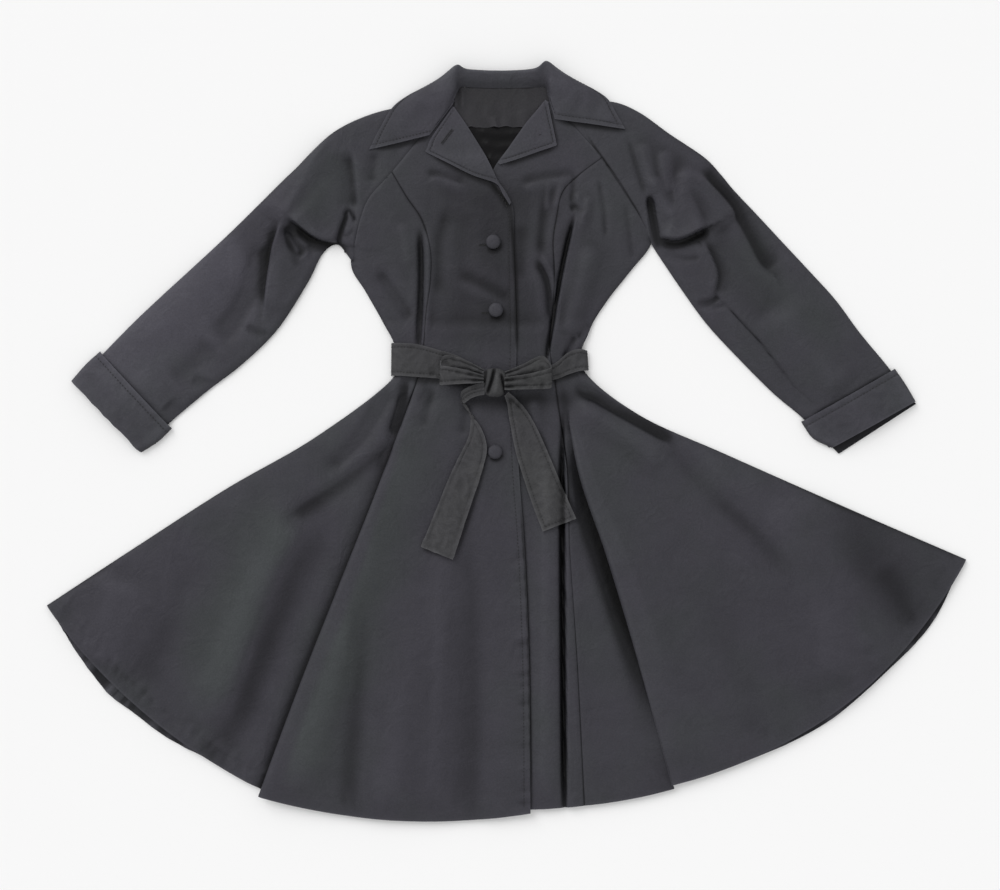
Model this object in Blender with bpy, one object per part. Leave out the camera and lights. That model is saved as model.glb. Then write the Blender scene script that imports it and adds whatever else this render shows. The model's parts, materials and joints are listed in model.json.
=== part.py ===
"""Princess coat laid flat on its back, with raglan sleeves, turned-back cuffs and a sash belt tied in a bow.

Left and right are the wearer's, so the right side lies at -X. +Y points to the collar and +Z up from the
surface that the coat lies on. Lengths in the tables are millimetres.
"""
import bmesh
import bpy
import numpy as np
from collections import namedtuple

MM = 0.001

# Cloth and seams
CLOTH = 1.6
BELT_CLOTH = 1.8
COLLAR_CLOTH = 2.0
SEAM_GAP = 0.3
RAGLAN_GAP = 0.9
STACK_GAP = 0.9

# Heights of the top of the upper cloth above the surface
FLAT_TOP = 5.3
LOWEST_TOP = 5.1
EDGE_TOP = 2.0
EDGE_ROLL = 12.0
CROWN = 7.0
CROWN_REACH = 70.0
HEM_EASE = 90.0
HEM_CROWN = 0.4
COLLAR_MIDDLE = (-10, 510)
CROWN_STARTS, CROWN_FULL = 190.0, 330.0
NO_ROLL = 0.001

# The right front lies on the left front along the closing edge, from the lapels down
OVERLAP_RISE = 2.4
OVERLAP_REACH, OVERLAP_SLOPE = 87.0, 35.0
OVERLAP_RUNOFF = 14.0
LAPEL_LEVEL, LAPEL_FADE = 445.0, 22.0

# The tuck under the right centre front, and the large fold on the left side front
TUCK_RISE = 6.5
TUCK_REACH = 85.0
TUCK_TOP, TUCK_GROWTH = 98.0, 60.0
TUCK_ROLL, TUCK_PINCH = 7.0, 0.55
UNDERLAP = 22.0
UNDERLAP_TOP, UNDERLAP_GROWTH = 60.0, 95.0
FOLD_RISE = 13.0
FOLD_REACH = 75.0
FOLD_TOP, FOLD_GROWTH = 40.0, 110.0
FOLD_SIDE, FOLD_LEAN = 8.0, 2.0

# The soft folds: steps along each, how they fade at their ends, and what is left of them at the collar
FOLD_STEPS = 4
FOLD_FADE = 0.25
FOLD_LEFT_AT_END = 0.4
FOLD_LEFT_AT_COLLAR = 0.35

# Back, belt and buttons
BACK_INSET = 4.0
WAIST_INSET = 12.0
WAIST_MIDDLE, WAIST_SPREAD = 115.0, 45.0
SLEEVE_BACK_INSET = 3.4
CUFF_BACK_INSET = 14.0
KNOT_GAP = 0.1
BELT_RAISE = 2.5
WAIST_LOW, WAIST_HIGH, WAIST_RAMP = 82.0, 164.0, 22.0
FRONT_HALF_WAIST, BACK_HALF_WAIST, HALF_WAIST_FADE = 260.0, 230.0, 40.0
BUTTON_DIAMETER = 22.0
BUTTON_HEIGHT = 6.0
BUTTON_SIDES = 20

# Steps of the grids that the cloth is made on
STEPS_PER_STATION = 2
COLUMNS = {
    "back": 16, "side_front_right": 9, "front_right": 8, "front_left": 8, "fold": 2, "side_front_left": 9,
    "sleeve_front": 6, "sleeve_back": 3, "cuff": 8, "cuff_back": 2, "lapel": 4, "facing": 6, "lining": 4,
    "belt": 4, "belt_back": 2,
}
CloseColumn = namedtuple("CloseColumn", "distance largest_share")
CLOSE_COLUMNS = [CloseColumn(0, 0), CloseColumn(3, 0.08), CloseColumn(8, 0.2)]

STATION_LINES = "side_right princess_right closing underlap princess_left fold_left side_left"
Station = namedtuple("Station", STATION_LINES)
BODY = [
    Station((-179, 397), (-172, 405), (-86, 511), (66, 513), (144, 427), (147, 421), (150, 416)),
    Station((-206, 366), (-149, 366), (-58, 472), (45, 497), (108, 400), (132, 388), (168, 393)),
    Station((-219, 335), (-127, 333), (-31, 429), (29, 478), (84, 374), (116, 356), (190, 355)),
    Station((-227, 300), (-114, 288), (-12, 389), (4, 443), (75, 335), (104, 325), (206, 326)),
    Station((-229, 262), (-114, 240), (9, 355), (-17, 414), (70, 300), (93, 282), (212, 296)),
    Station((-212, 226), (-121, 190), (11, 290), (-36, 370), (72, 255), (84, 240), (186, 256)),
    Station((-186, 180), (-124, 150), (13, 225), (-36, 290), (70, 200), (81, 195), (150, 210)),
    Station((-167, 140), (-132, 100), (15, 150), (-33, 200), (65, 140), (77, 145), (124, 165)),
    Station((-172, 94), (-160, 20), (14, 60), (-30, 100), (74, 80), (86, 84), (115, 109)),
    Station((-290, 5), (-205, -100), (19, -50), (-28, -40), (90, -40), (107, -45), (200, 40)),
    Station((-420, -70), (-252, -218), (27, -160), (-20, -160), (95, -165), (150, -174), (330, -19)),
    Station((-560, -160), (-310, -365), (34, -340), (-10, -330), (106, -330), (198, -334), (520, -103)),
    Station((-691, -246), (-372, -531), (36, -557), (-8, -552), (117, -546), (249, -521), (691, -177)),
]
FIRST_SKIRT_STATION = 8
FIRST_SIDE_STATION = 4
HEM_SAG = {"side_front_right": 29, "front_right": 24, "front_left": 2, "fold": 3, "side_front_left": 60}
SAG_GROWTH = 1.6
BACK_HEM = [
    (-686, -248), (-669, -279), (-645, -318), (-602, -375), (-560, -408), (-510, -445), (-450, -476),
    (-372, -512), (-260, -544), (-139, -556), (0, -548), (117, -533), (249, -508), (369, -469),
    (478, -418), (584, -334), (643, -268), (686, -180),
]

BackEdge = namedtuple("BackEdge", "right left")
BACK_SHOULDERS = [
    BackEdge((-62, 526), (56, 527)),
    BackEdge((-128, 456), (106, 465)),
    BackEdge((-182, 391), (152, 414)),
    BackEdge((-219, 333), (190, 352)),
]

Sleeve = namedtuple("Sleeve", "upper lower")
SLEEVE_RIGHT = [
    Sleeve((-98, 506), (-90, 506)),
    Sleeve((-140, 505), (-131, 456)),
    Sleeve((-185, 498), (-172, 405)),
    Sleeve((-228, 483), (-206, 366)),
    Sleeve((-262, 464), (-219, 335)),
    Sleeve((-290, 439), (-228, 300)),
    Sleeve((-315, 413), (-232.5, 268)),
    Sleeve((-338, 391), (-253, 296)),
    Sleeve((-375, 354), (-276, 283)),
    Sleeve((-420, 310), (-300, 237)),
    Sleeve((-474, 260), (-345, 168)),
    Sleeve((-522, 216), (-398, 116)),
    Sleeve((-563, 177), (-450, 76)),
    Sleeve((-605, 134), (-507, 28)),
    Sleeve((-641, 95), (-543, -6)),
]
SLEEVE_LEFT = [
    Sleeve((80, 505), (70, 508)),
    Sleeve((118, 508), (108, 467)),
    Sleeve((160, 511), (144, 427)),
    Sleeve((200, 495), (168, 393)),
    Sleeve((245, 463), (190, 355)),
    Sleeve((297, 428), (207, 326)),
    Sleeve((322, 402), (216, 301)),
    Sleeve((342, 378), (226, 284)),
    Sleeve((375, 343), (240, 263)),
    Sleeve((415, 300), (263, 229)),
    Sleeve((457, 255), (301, 177)),
    Sleeve((495, 213), (349, 125)),
    Sleeve((532, 163), (401, 73)),
    Sleeve((578, 107), (447, 34)),
    Sleeve((611, 59), (485, -9)),
]
ARMPIT_STATION = 7
CUFF_STATION = 13

Cuff = namedtuple("Cuff", "upper lower")
CUFF_RIGHT = [Cuff((-611, 136), (-503, 20)), Cuff((-632, 117), (-524, 0)), Cuff((-654, 92), (-549, -16))]
CUFF_LEFT = [Cuff((584, 110), (443, 30)), Cuff((602, 84), (462, 3)), Cuff((619, 56), (497, -19))]
CUFF_STEPS = 2
CUFF_ROLL = 9.0
CUFF_LIFT = 3.6

Lapel = namedtuple("Lapel", "outer fold")
LAPEL_RIGHT = [
    Lapel((-83, 499), (-79, 503)),
    Lapel((-112, 457), (-59, 474)),
    Lapel((-121, 435), (-46, 453)),
    Lapel((-88, 414), (-33, 432)),
    Lapel((-52, 400), (-23, 413)),
    Lapel((-16, 387), (-13, 392)),
]
LAPEL_LEFT = [
    Lapel((62, 510), (58, 513)),
    Lapel((68, 481), (45, 497)),
    Lapel((75, 445), (29, 478)),
    Lapel((44, 434), (14, 457)),
    Lapel((16, 424), (0, 437)),
    Lapel((-10, 416), (-13, 419)),
]
LAPEL_LIFT = 2.9
LAPEL_ROLL, LAPEL_DIP = 6.0, 0.6

Inside = namedtuple("Inside", "right left")
FACING = [
    Inside((-67, 529.5), (57, 529.5)),
    Inside((-76, 514), (61, 515)),
    Inside((-76, 500), (56, 499)),
    Inside((-58, 474), (46, 475)),
]
LINING = [Inside((-58, 473.5), (46, 474.5)), Inside((-44, 400), (22, 400))]
FACING_CLOTH, LINING_CLOTH = 1.2, 1.0
INSIDE_STEPS = 3

Leaf = namedtuple("Leaf", "neck roll fall outer")
COLLAR = [
    Leaf((-80.5, 506, 8.4), (-115.5, 460, 8.6), (-160, 449, 8.8), (-206, 438, 8.4)),
    Leaf((-77, 518, 9), (-96, 500, 12), (-143, 486, 11), (-190, 470, 8.8)),
    Leaf((-73, 526, 8), (-84, 530, 19), (-125, 520, 14), (-167, 506, 7.2)),
    Leaf((-70, 531, 6), (-79, 548, 22), (-101, 543, 13), (-122, 534, 4)),
    Leaf((-64, 533, 5), (-71, 560, 21), (-78, 562, 9), (-74, 553, 0)),
    Leaf((-50, 532, 5), (-55, 553, 18), (-58, 558, 8), (-55, 547, 0)),
    Leaf((-5, 531, 5), (-8, 551, 17), (-8, 556, 7.5), (-7, 545, 0)),
    Leaf((38, 532, 5), (39, 553, 18), (40, 559, 8), (39, 547, 0)),
    Leaf((54, 533, 5), (57, 565, 21), (62, 568, 9), (59, 558, 0)),
    Leaf((59, 531, 6), (66, 554, 22), (84, 553, 13), (104, 543, 4)),
    Leaf((61, 526, 8), (70, 538, 19), (108, 531, 14), (148, 518, 7.2)),
    Leaf((62, 521, 9), (76, 511, 12), (121, 503, 11), (165, 492, 8.8)),
    Leaf((63.5, 517, 8.4), (72, 484, 8.6), (125, 477, 8.8), (178, 469, 8.4)),
]
COLLAR_STEPS_ALONG = 3
COLLAR_STEPS_ACROSS = 3

Strip = namedtuple("Strip", "first second rise")
BELT_RIGHT = [
    Strip((-173, 148), (-173.5, 99), -9.0),
    Strip((-172, 148), (-172.5, 99), -5.0),
    Strip((-167, 148), (-168, 99), -1.5),
    Strip((-158, 148), (-159, 99), 0),
    Strip((-133, 146), (-133, 97), 0),
    Strip((-104, 138), (-106, 95), 0),
    Strip((-72, 128), (-74, 90), 0),
    Strip((-39, 109), (-39, 84), 0),
]
BELT_LEFT = [
    Strip((3, 106), (3, 84), 0),
    Strip((34, 108), (34, 88), 0),
    Strip((70, 116), (72, 93), 0),
    Strip((91, 133), (93, 101), 0),
    Strip((107, 139), (109, 106), 0),
    Strip((116, 138), (118, 106.5), -1.5),
    Strip((120.5, 137), (122, 107), -5.0),
    Strip((121.5, 136.5), (123.5, 107.5), -9.0),
]
BELT_BACK = [
    Strip((-168, 148), (-168, 99), 0),
    Strip((-30, 147), (-30, 97), 0),
    Strip((114, 139), (114, 97), 0),
]
TAIL_RIGHT = [
    Strip((-40, 82), (-37, 62), 6),
    Strip((-60, 78), (-45, 48), 3),
    Strip((-68, 64), (-36, 34), 1),
    Strip((-60, 38), (-30, 8), 0),
    Strip((-61, 4), (-29, -18), 0),
    Strip((-80, -44), (-41, -58), 0),
    Strip((-104, -100), (-58, -114), 0),
    Strip((-128, -157), (-80, -176), 0),
]
TAIL_LEFT = [
    Strip((-8, 63), (6, 68), 6),
    Strip((1, 52), (24, 53), 3),
    Strip((6, 26), (42, 26), 1),
    Strip((14, -10), (58, -5), 0),
    Strip((31, -66), (81, -56), 0),
    Strip((54, -134), (104, -115), 0),
]
BELT_LIFT = 2.6
TAIL_LIFT = 3.4

Loop = namedtuple("Loop", "along middle width height")
BOW_RIGHT = [
    Loop(-36, 97, 22, 12),
    Loop(-64, 102, 36, 12),
    Loop(-88, 106, 45, 11),
    Loop(-97, 107, 46, 9),
    Loop(-99.5, 107, 46, 6),
    Loop(-97, 107, 46, 3),
    Loop(-88, 106, 44, 1.0),
    Loop(-64, 102, 35, 0.6),
    Loop(-37.2, 97, 20, 1.8),
]
BOW_LEFT = [
    Loop(0, 89, 26, 12),
    Loop(28, 95, 34, 12),
    Loop(55, 99, 40, 11),
    Loop(64, 100, 42, 9),
    Loop(67, 100, 42, 6),
    Loop(64, 100, 42, 3),
    Loop(55, 99, 39, 1.0),
    Loop(28, 95, 33, 0.6),
    Loop(1.2, 89, 24, 1.8),
]
BOW_LIFT = 5.2

KNOT_CENTRE = (-18, 88)
KNOT_SIZE = (38, 43, 20)
KNOT_POWER = 2.6
KNOT_SEGMENTS, KNOT_RINGS = 16, 10

BUTTONS = {"button_top": (-20, 299), "button_middle": (-16, 197), "button_low": (-17, -15)}
Ring = namedtuple("Ring", "reach height")
BUTTON_RINGS = [Ring(0.9, 0), Ring(1, 0.3), Ring(0.93, 0.62), Ring(0.7, 0.86), Ring(0.35, 0.97)]

Fold = namedtuple("Fold", "start bend end width height")
FOLDS = [
    Fold((-349, -60), (-400, -240), (-450, -440), 48, 6),
    Fold((-560, -200), (-585, -260), (-620, -330), 45, 4),
    Fold((-262, -60), (-312, -210), (-372, -440), 26, -6),
    Fold((-172, 92), (-215, 9), (-270, -45), 13, -3.5),
    Fold((-182, -57), (-255, -300), (-325, -537), 30, 2.5),
    Fold((-110, -190), (-150, -380), (-180, -560), 40, 3.5),
    Fold((-20, -120), (-40, -330), (-60, -560), 45, -3),
    Fold((83, 60), (84, -250), (86, -553), 6, -6),
    Fold((60, 20), (60, -250), (58, -550), 18, 4),
    Fold((162, 37), (248, -6), (378, -148), 15, -4),
    Fold((290, -66), (350, -130), (431, -147), 16, -3.5),
    Fold((420, -60), (470, -200), (520, -360), 60, 5),
    Fold((300, -200), (340, -330), (380, -460), 45, -4),
    Fold((-130, 320), (-128, 240), (-130, 150), 7, -3),
    Fold((-88, 361), (-100, 300), (-103, 218), 12, -2),
    Fold((106, 334), (86, 255), (66, 150), 9, -4.5),
    Fold((130, 300), (112, 230), (95, 160), 15, 4),
    Fold((-259, 466), (-300, 400), (-335, 334), 14, 5),
    Fold((-320, 332), (-290, 308), (-258, 303), 13, -6),
    Fold((-350, 306), (-364, 240), (-359, 172), 12, -4),
    Fold((-420, 280), (-480, 210), (-560, 140), 40, 6),
    Fold((217, 363), (222, 335), (228, 304), 12, -5),
    Fold((226, 297), (265, 300), (299, 321), 13, -5),
    Fold((253, 404), (310, 380), (350, 340), 22, 7),
    Fold((400, 210), (450, 140), (510, 80), 38, 5),
]

COAT = (0.052, 0.050, 0.056, 1)
BELT_TONE = (0.050, 0.049, 0.052, 1)
FACING_TONE = (0.040, 0.038, 0.042, 1)
LINING_TONE = (0.008, 0.008, 0.009, 1)
COAT_ROUGHNESS = 0.75
LINING_ROUGHNESS = 0.4


def smooth(knots, steps=STEPS_PER_STATION):
    """Points on a smooth curve through the knots, with the same number of steps between each two."""
    knots = np.array(knots, float)
    before = np.vstack([2 * knots[:1] - knots[1:2], knots[:-1]])[:-1]
    after = np.vstack([knots[1:], 2 * knots[-1:] - knots[-2:-1]])[1:]
    shares = np.arange(steps) / steps
    points = []
    for p0, p1, p2, p3 in zip(before, knots[:-1], knots[1:], after):
        for t in shares:
            bend = (2 * p0 - 5 * p1 + 4 * p2 - p3) * t + (3 * p1 - p0 - 3 * p2 + p3) * t * t
            points.append(p1 + 0.5 * t * (p2 - p0 + bend))
    return np.array(points + [knots[-1]])


def column(rows, name):
    """One column of a table as a list of points."""
    return [getattr(row, name) for row in rows]


def ease(value):
    """0 below 0, 1 above 1, and a soft rise between."""
    value = np.clip(value, 0, 1)
    return value * value * (3 - 2 * value)


def dome(value):
    """A quarter of a circle: steep at 0 and level at 1."""
    return np.sqrt(1 - (1 - np.clip(value, 0, 1)) ** 2)


def distance_to(line, x, y):
    """Signed distance to a plan line (above 0 to the right of one that runs down) and the share along it."""
    starts, runs = line[:-1], np.diff(line, axis=0)
    lengths = np.hypot(runs[:, 0], runs[:, 1])
    along = np.concatenate([[0], np.cumsum(lengths)])
    dx, dy = x[..., None] - starts[:, 0], y[..., None] - starts[:, 1]
    share = np.clip((dx * runs[:, 0] + dy * runs[:, 1]) / lengths**2, 0, 1)
    gap = np.hypot(dx - share * runs[:, 0], dy - share * runs[:, 1])
    nearest = gap.argmin(-1)[..., None]
    side = np.take_along_axis(runs[:, 0] * dy - runs[:, 1] * dx, nearest, -1)[..., 0]
    place = np.take_along_axis(along[:-1] + share * lengths, nearest, -1)[..., 0] / along[-1]
    return np.where(side < 0, -1, 1) * np.take_along_axis(gap, nearest, -1)[..., 0], place


def shifted(line, distance):
    """A plan line moved sideways, to the viewer's right of a line that runs down."""
    run = np.gradient(line, axis=0)
    run /= np.hypot(run[:, 0], run[:, 1])[:, None]
    return line + distance * np.stack([-run[:, 1], run[:, 0]], -1)


SEAMS = {name: smooth(column(BODY, name)) for name in Station._fields}
ROLLED_EDGES = [
    SEAMS["side_right"][FIRST_SIDE_STATION * STEPS_PER_STATION:],
    SEAMS["side_left"][FIRST_SIDE_STATION * STEPS_PER_STATION:],
    *(smooth(column(table[1:], "upper")) for table in (SLEEVE_RIGHT, SLEEVE_LEFT)),
    *(smooth(column(table[ARMPIT_STATION:], "lower")) for table in (SLEEVE_RIGHT, SLEEVE_LEFT)),
]
HEM = smooth([
    (-691, -246), (-543, -405), (-372, -531), (-139, -569),
    (117, -546), (249, -521), (478, -421), (691, -177),
])


def waist_raise(y):
    """How far the back and all above it rise over the belt that passes behind."""
    return BELT_RAISE * ease((y - WAIST_LOW) / WAIST_RAMP + 1) * ease((WAIST_HIGH - y) / WAIST_RAMP + 1)


def folds_at(x, y):
    """Sum of the large soft folds, each fading out at both ends."""
    total = np.zeros_like(x)
    for fold in FOLDS:
        gap, place = distance_to(smooth([fold.start, fold.bend, fold.end], FOLD_STEPS), x, y)
        fade = ease(place / FOLD_FADE) * ease((1 - place) / FOLD_FADE + FOLD_LEFT_AT_END)
        total += fold.height * np.exp(-((gap / fold.width) ** 2)) * fade
    return total


def fold_step(x, y):
    """The large fold of the left side front: a steep side along its line, sloping away behind it."""
    gap = distance_to(SEAMS["fold_left"], x, y)[0]
    side = ease((gap + FOLD_LEAN) / FOLD_SIDE)
    return FOLD_RISE * ease((FOLD_TOP - y) / FOLD_GROWTH) * side * np.exp(-np.maximum(gap, 0) / FOLD_REACH)


def upper_top(x, y, roll=EDGE_ROLL):
    """Top of the upper cloth layer, which all the upper panels share so that they meet at their seams."""
    edge = np.min([np.abs(distance_to(line, x, y)[0]) for line in ROLLED_EDGES], axis=0)
    hem = np.abs(distance_to(HEM, x, y)[0])
    from_collar = np.hypot(x - COLLAR_MIDDLE[0], y - COLLAR_MIDDLE[1])
    spread = ease((from_collar - CROWN_STARTS) / (CROWN_FULL - CROWN_STARTS))
    from_hem = HEM_CROWN + (1 - HEM_CROWN) * ease(hem / HEM_EASE)
    crown = CROWN * (1 - np.exp(-edge / CROWN_REACH)) * spread * from_hem
    waist = waist_raise(y) * ease((FRONT_HALF_WAIST - np.abs(x)) / HALF_WAIST_FADE)
    folds = folds_at(x, y) * (FOLD_LEFT_AT_COLLAR + (1 - FOLD_LEFT_AT_COLLAR) * spread)
    rise = FLAT_TOP - LOWEST_TOP + crown + folds + fold_step(x, y)
    kept = 0.5 * (rise + np.sqrt(rise * rise + 1))
    return EDGE_TOP + waist + (LOWEST_TOP - EDGE_TOP + kept) * dome(edge / roll)


def overlap_rise(x, y):
    """Rise of the right front where it lies on the left front, eased off past the closing edge."""
    gap = distance_to(SEAMS["closing"], x, y)[0]
    below_lapels = ease((LAPEL_LEVEL - y) / LAPEL_FADE)
    past_edge = 1 - ease((gap - 1) / OVERLAP_RUNOFF)
    return OVERLAP_RISE * below_lapels * ease((OVERLAP_REACH + gap) / OVERLAP_SLOPE) * past_edge


def tuck_rise(x, y):
    """Rise of the right centre front over its tuck, with the edge of the tuck rolled under."""
    gap = np.maximum(distance_to(SEAMS["princess_right"], x, y)[0], 0)
    rolled = 1 - TUCK_PINCH * (1 - dome(gap / TUCK_ROLL))
    return TUCK_RISE * ease((TUCK_TOP - y) / TUCK_GROWTH) * np.exp(-gap / TUCK_REACH) * rolled


def front_top(x, y, roll=EDGE_ROLL):
    """Top of the fronts as they lie, which the belt, lapels and buttons are laid on."""
    inside = distance_to(SEAMS["princess_right"], x, y)[0] > 0
    return upper_top(x, y, roll) + overlap_rise(x, y) + tuck_rise(x, y) * inside


def belt_ground(x, y):
    """The fronts under the belt, without the roll of their side edges, which the belt passes round."""
    return front_top(x, y, NO_ROLL)


def across(width, columns, first_edge, second_edge):
    """Shares across each row: even columns, with close ones along an edge that rolls."""
    close = np.array([np.minimum(row.distance / width, row.largest_share) for row in CLOSE_COLUMNS])
    low = close if first_edge else close[:1]
    high = (1 - close)[::-1] if second_edge else 1 - close[:1]
    even = np.linspace(0, 1, columns + 1)[1:-1, None]
    return np.vstack([low, low[-1] + (high[0] - low[-1]) * even, high]).T


def span(first, second, columns, sag=None, edges=(False, False)):
    """Plan points between two lines, row by row, each row sagging towards the hem by its own amount."""
    run = second - first
    width = np.hypot(run[:, 0], run[:, 1])
    share = across(width, columns, *edges)
    points = first[:, None] + run[:, None] * share[..., None]
    if sag is not None:
        down = np.stack([run[:, 1], -run[:, 0]], -1) / width[:, None]
        bow = 1 - (2 * share - 1) ** 2
        points = points + down[:, None] * (sag[:, None] * bow)[..., None]
    return points


def skirt_sag(hem_sag):
    """Sag of each row of a panel, from nothing at the waist to its full size at the hem."""
    stations = np.arange(len(SEAMS["closing"])) / STEPS_PER_STATION
    skirt = np.clip((stations - FIRST_SKIRT_STATION) / (len(BODY) - 1 - FIRST_SKIRT_STATION), 0, 1)
    return hem_sag * skirt**SAG_GROWTH


def spread_along(line, shares):
    """Points on a plan line at shares of its run from side to side."""
    return np.stack([np.interp(shares, np.linspace(0, 1, len(line)), line[:, k]) for k in (0, 1)], -1)


def raised(plan, top):
    """A plan grid given its height by a function of x and y."""
    return np.concatenate([plan, top(plan[..., 0], plan[..., 1])[..., None]], -1)


def material(name, colour, roughness):
    """A cloth finish."""
    made = bpy.data.materials.new(name)
    made.use_nodes = True
    shader = made.node_tree.nodes["Principled BSDF"]
    shader.inputs["Base Color"].default_value = colour
    shader.inputs["Roughness"].default_value = roughness
    shader.inputs["Metallic"].default_value = 0
    return made


def add_mesh(name, vertices, faces, finish):
    """A named object from millimetre points."""
    mesh = bpy.data.meshes.new(name)
    mesh.from_pydata((np.asarray(vertices) * MM).tolist(), [], faces)
    mesh.materials.append(finish)
    mesh.shade_smooth()
    made = bpy.data.objects.new(name, mesh)
    bpy.context.scene.collection.objects.link(made)
    return made


def facing_of(grid):
    """Normals of a grid of points by its rows and columns, and whether they point up on its first rows."""
    normal = np.cross(np.gradient(grid, axis=0), np.gradient(grid, axis=1))
    return normal, normal[:3, :, 2].sum() > 0


def normals_of(grid):
    """Unit normals of a grid of points, up on its first rows."""
    normal, up = facing_of(grid)
    normal /= np.linalg.norm(normal, axis=-1, keepdims=True)
    return normal if up else -normal


def wall(name, outside, inside, finish):
    """A closed wall between two grids of points: outside faces up on the first rows."""
    rows, columns = outside.shape[:2]
    index = np.arange(rows * columns).reshape(rows, columns)
    faces = []
    for i in range(rows - 1):
        for j in range(columns - 1):
            quad = [index[i, j], index[i + 1, j], index[i + 1, j + 1], index[i, j + 1]]
            faces.append(quad)
            faces.append([k + rows * columns for k in reversed(quad)])
    rim = [*index[:, 0], *index[-1, 1:], *index[-2::-1, -1], *index[0, -2:0:-1]]
    for a, b in zip(rim, rim[1:] + rim[:1]):
        faces.append([a, a + rows * columns, b + rows * columns, b])
    if not facing_of(outside)[1]:
        faces = [face[::-1] for face in faces]
    points = np.vstack([outside.reshape(-1, 3), inside.reshape(-1, 3)])
    return add_mesh(name, points, [[int(k) for k in face] for face in faces], finish)


def cloth(name, grid, thickness, finish, seams=(False, False)):
    """A cloth wall of even thickness under a grid of points, upright along an edge that is a seam."""
    normal = normals_of(grid)
    for is_seam, edge in zip(seams, (0, -1)):
        if is_seam:
            normal[:, edge] = (0, 0, 1)
    return wall(name, grid, grid - thickness * normal, finish)


def plate(name, plan, lift, thickness, finish):
    """A cloth wall that lies level, at a height that may change over its plan."""
    bottom = np.concatenate([plan, lift(plan[..., 0], plan[..., 1])[..., None]], -1)
    return wall(name, bottom + np.array([0, 0, thickness]), bottom, finish)


def on_floor(x, y):
    """On the surface that the coat lies on."""
    return np.zeros_like(x)


def inside_level(x, y):
    """Just above the back."""
    return np.full_like(x, CLOTH + SEAM_GAP)


def back_lift(x, y):
    """On the surface, raised over the belt behind the waist."""
    return waist_raise(y) * ease((BACK_HALF_WAIST - np.abs(x)) / HALF_WAIST_FADE)


def make_body(finish):
    """Back, and the four princess panels of the front."""
    half = SEAM_GAP / 2
    sides = {}
    for name, inward in (("right", 1), ("left", -1)):
        knots = column(BACK_SHOULDERS, name) + column(BODY[len(BACK_SHOULDERS):], "side_" + name)
        edge = smooth(knots)
        pull = WAIST_INSET * np.exp(-(((edge[:, 1] - WAIST_MIDDLE) / WAIST_SPREAD) ** 2))
        sides[name] = shifted(edge, inward * BACK_INSET) + np.stack([inward * pull, np.zeros_like(pull)], -1)
    plan = span(sides["right"], sides["left"], COLUMNS["back"])
    to_hem = spread_along(smooth(BACK_HEM), np.linspace(0, 1, COLUMNS["back"] + 1)) - plan[-1]
    plate("back", plan + skirt_sag(1)[:, None, None] * to_hem, back_lift, CLOTH, finish)

    sag = {name: skirt_sag(size) for name, size in HEM_SAG.items()}
    under = UNDERLAP * ease((UNDERLAP_TOP - SEAMS["princess_right"][:, 1]) / UNDERLAP_GROWTH)
    tucked = SEAMS["princess_right"] + np.stack([under - half, np.zeros_like(under)], -1)
    name = "side_front_right"
    plan = span(SEAMS["side_right"], tucked, COLUMNS[name], sag[name], (True, False))
    cloth(name, raised(plan, upper_top), CLOTH, finish, (False, True))

    name = "front_right"
    edge = shifted(SEAMS["princess_right"], half)
    plan = span(edge, SEAMS["closing"], COLUMNS[name], sag[name], (True, False))
    cloth(name, raised(plan, front_top), CLOTH, finish, (True, False))

    name = "front_left"
    edge = shifted(SEAMS["princess_left"], -half)
    plan = span(SEAMS["underlap"], edge, COLUMNS[name], sag[name], (False, True))
    cloth(name, raised(plan, upper_top), CLOTH, finish, (False, True))

    edge = shifted(SEAMS["princess_left"], half)
    low = span(edge, SEAMS["fold_left"], COLUMNS["fold"], sag["fold"], (False, True))
    name = "side_front_left"
    high = span(SEAMS["fold_left"], SEAMS["side_left"], COLUMNS[name], sag[name], (True, True))
    plan = np.concatenate([low, high[:, 1:]], 1)
    cloth("side_front_left", raised(plan, upper_top), CLOTH, finish, (True, False))


def make_sleeve(side, table, cuff, outward, finish):
    """Front and back of a raglan sleeve, with the front and back half of its turned-back cuff."""
    upper, lower = smooth(column(table, "upper")), smooth(column(table, "lower"))
    seam_rows = (ARMPIT_STATION - 1) * STEPS_PER_STATION + 1
    seam = shifted(lower, -outward * RAGLAN_GAP)
    lower = np.vstack([seam[:seam_rows], lower[seam_rows:]])
    plan = span(upper, lower, COLUMNS["sleeve_front"], None, (True, True))
    cloth("sleeve_" + side + "_front", raised(plan, upper_top), CLOTH, finish)

    last = CUFF_STATION * STEPS_PER_STATION
    both = ((upper, outward), (lower, -outward))
    inner = [shifted(line, turn * SLEEVE_BACK_INSET)[:last] for line, turn in both]
    plate("sleeve_" + side + "_back", span(*inner, COLUMNS["sleeve_back"]), on_floor, CLOTH, finish)

    edges = [smooth(column(cuff, name), CUFF_STEPS) for name in Cuff._fields]

    def cuff_top(x, y):
        """Over the sleeve, rolled round at the two long edges."""
        edge = np.min([np.abs(distance_to(line, x, y)[0]) for line in edges], axis=0)
        return EDGE_TOP + (upper_top(x, y) + CUFF_LIFT - EDGE_TOP) * dome(edge / CUFF_ROLL)

    plan = span(*edges, COLUMNS["cuff"], None, (True, True))
    cloth("cuff_" + side, raised(plan, cuff_top), CLOTH, finish)
    hidden = []
    for sleeve_line, cuff_line, turn in zip(inner, edges, (outward, -outward)):
        start, end = sleeve_line[-1], shifted(cuff_line, turn * CUFF_BACK_INSET)[-1]
        start = start + SEAM_GAP * (end - start) / np.hypot(*(end - start))
        hidden.append(smooth([start, end], CUFF_STEPS))
    plate("cuff_" + side + "_back", span(*hidden, COLUMNS["cuff_back"]), on_floor, CLOTH, finish)


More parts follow.
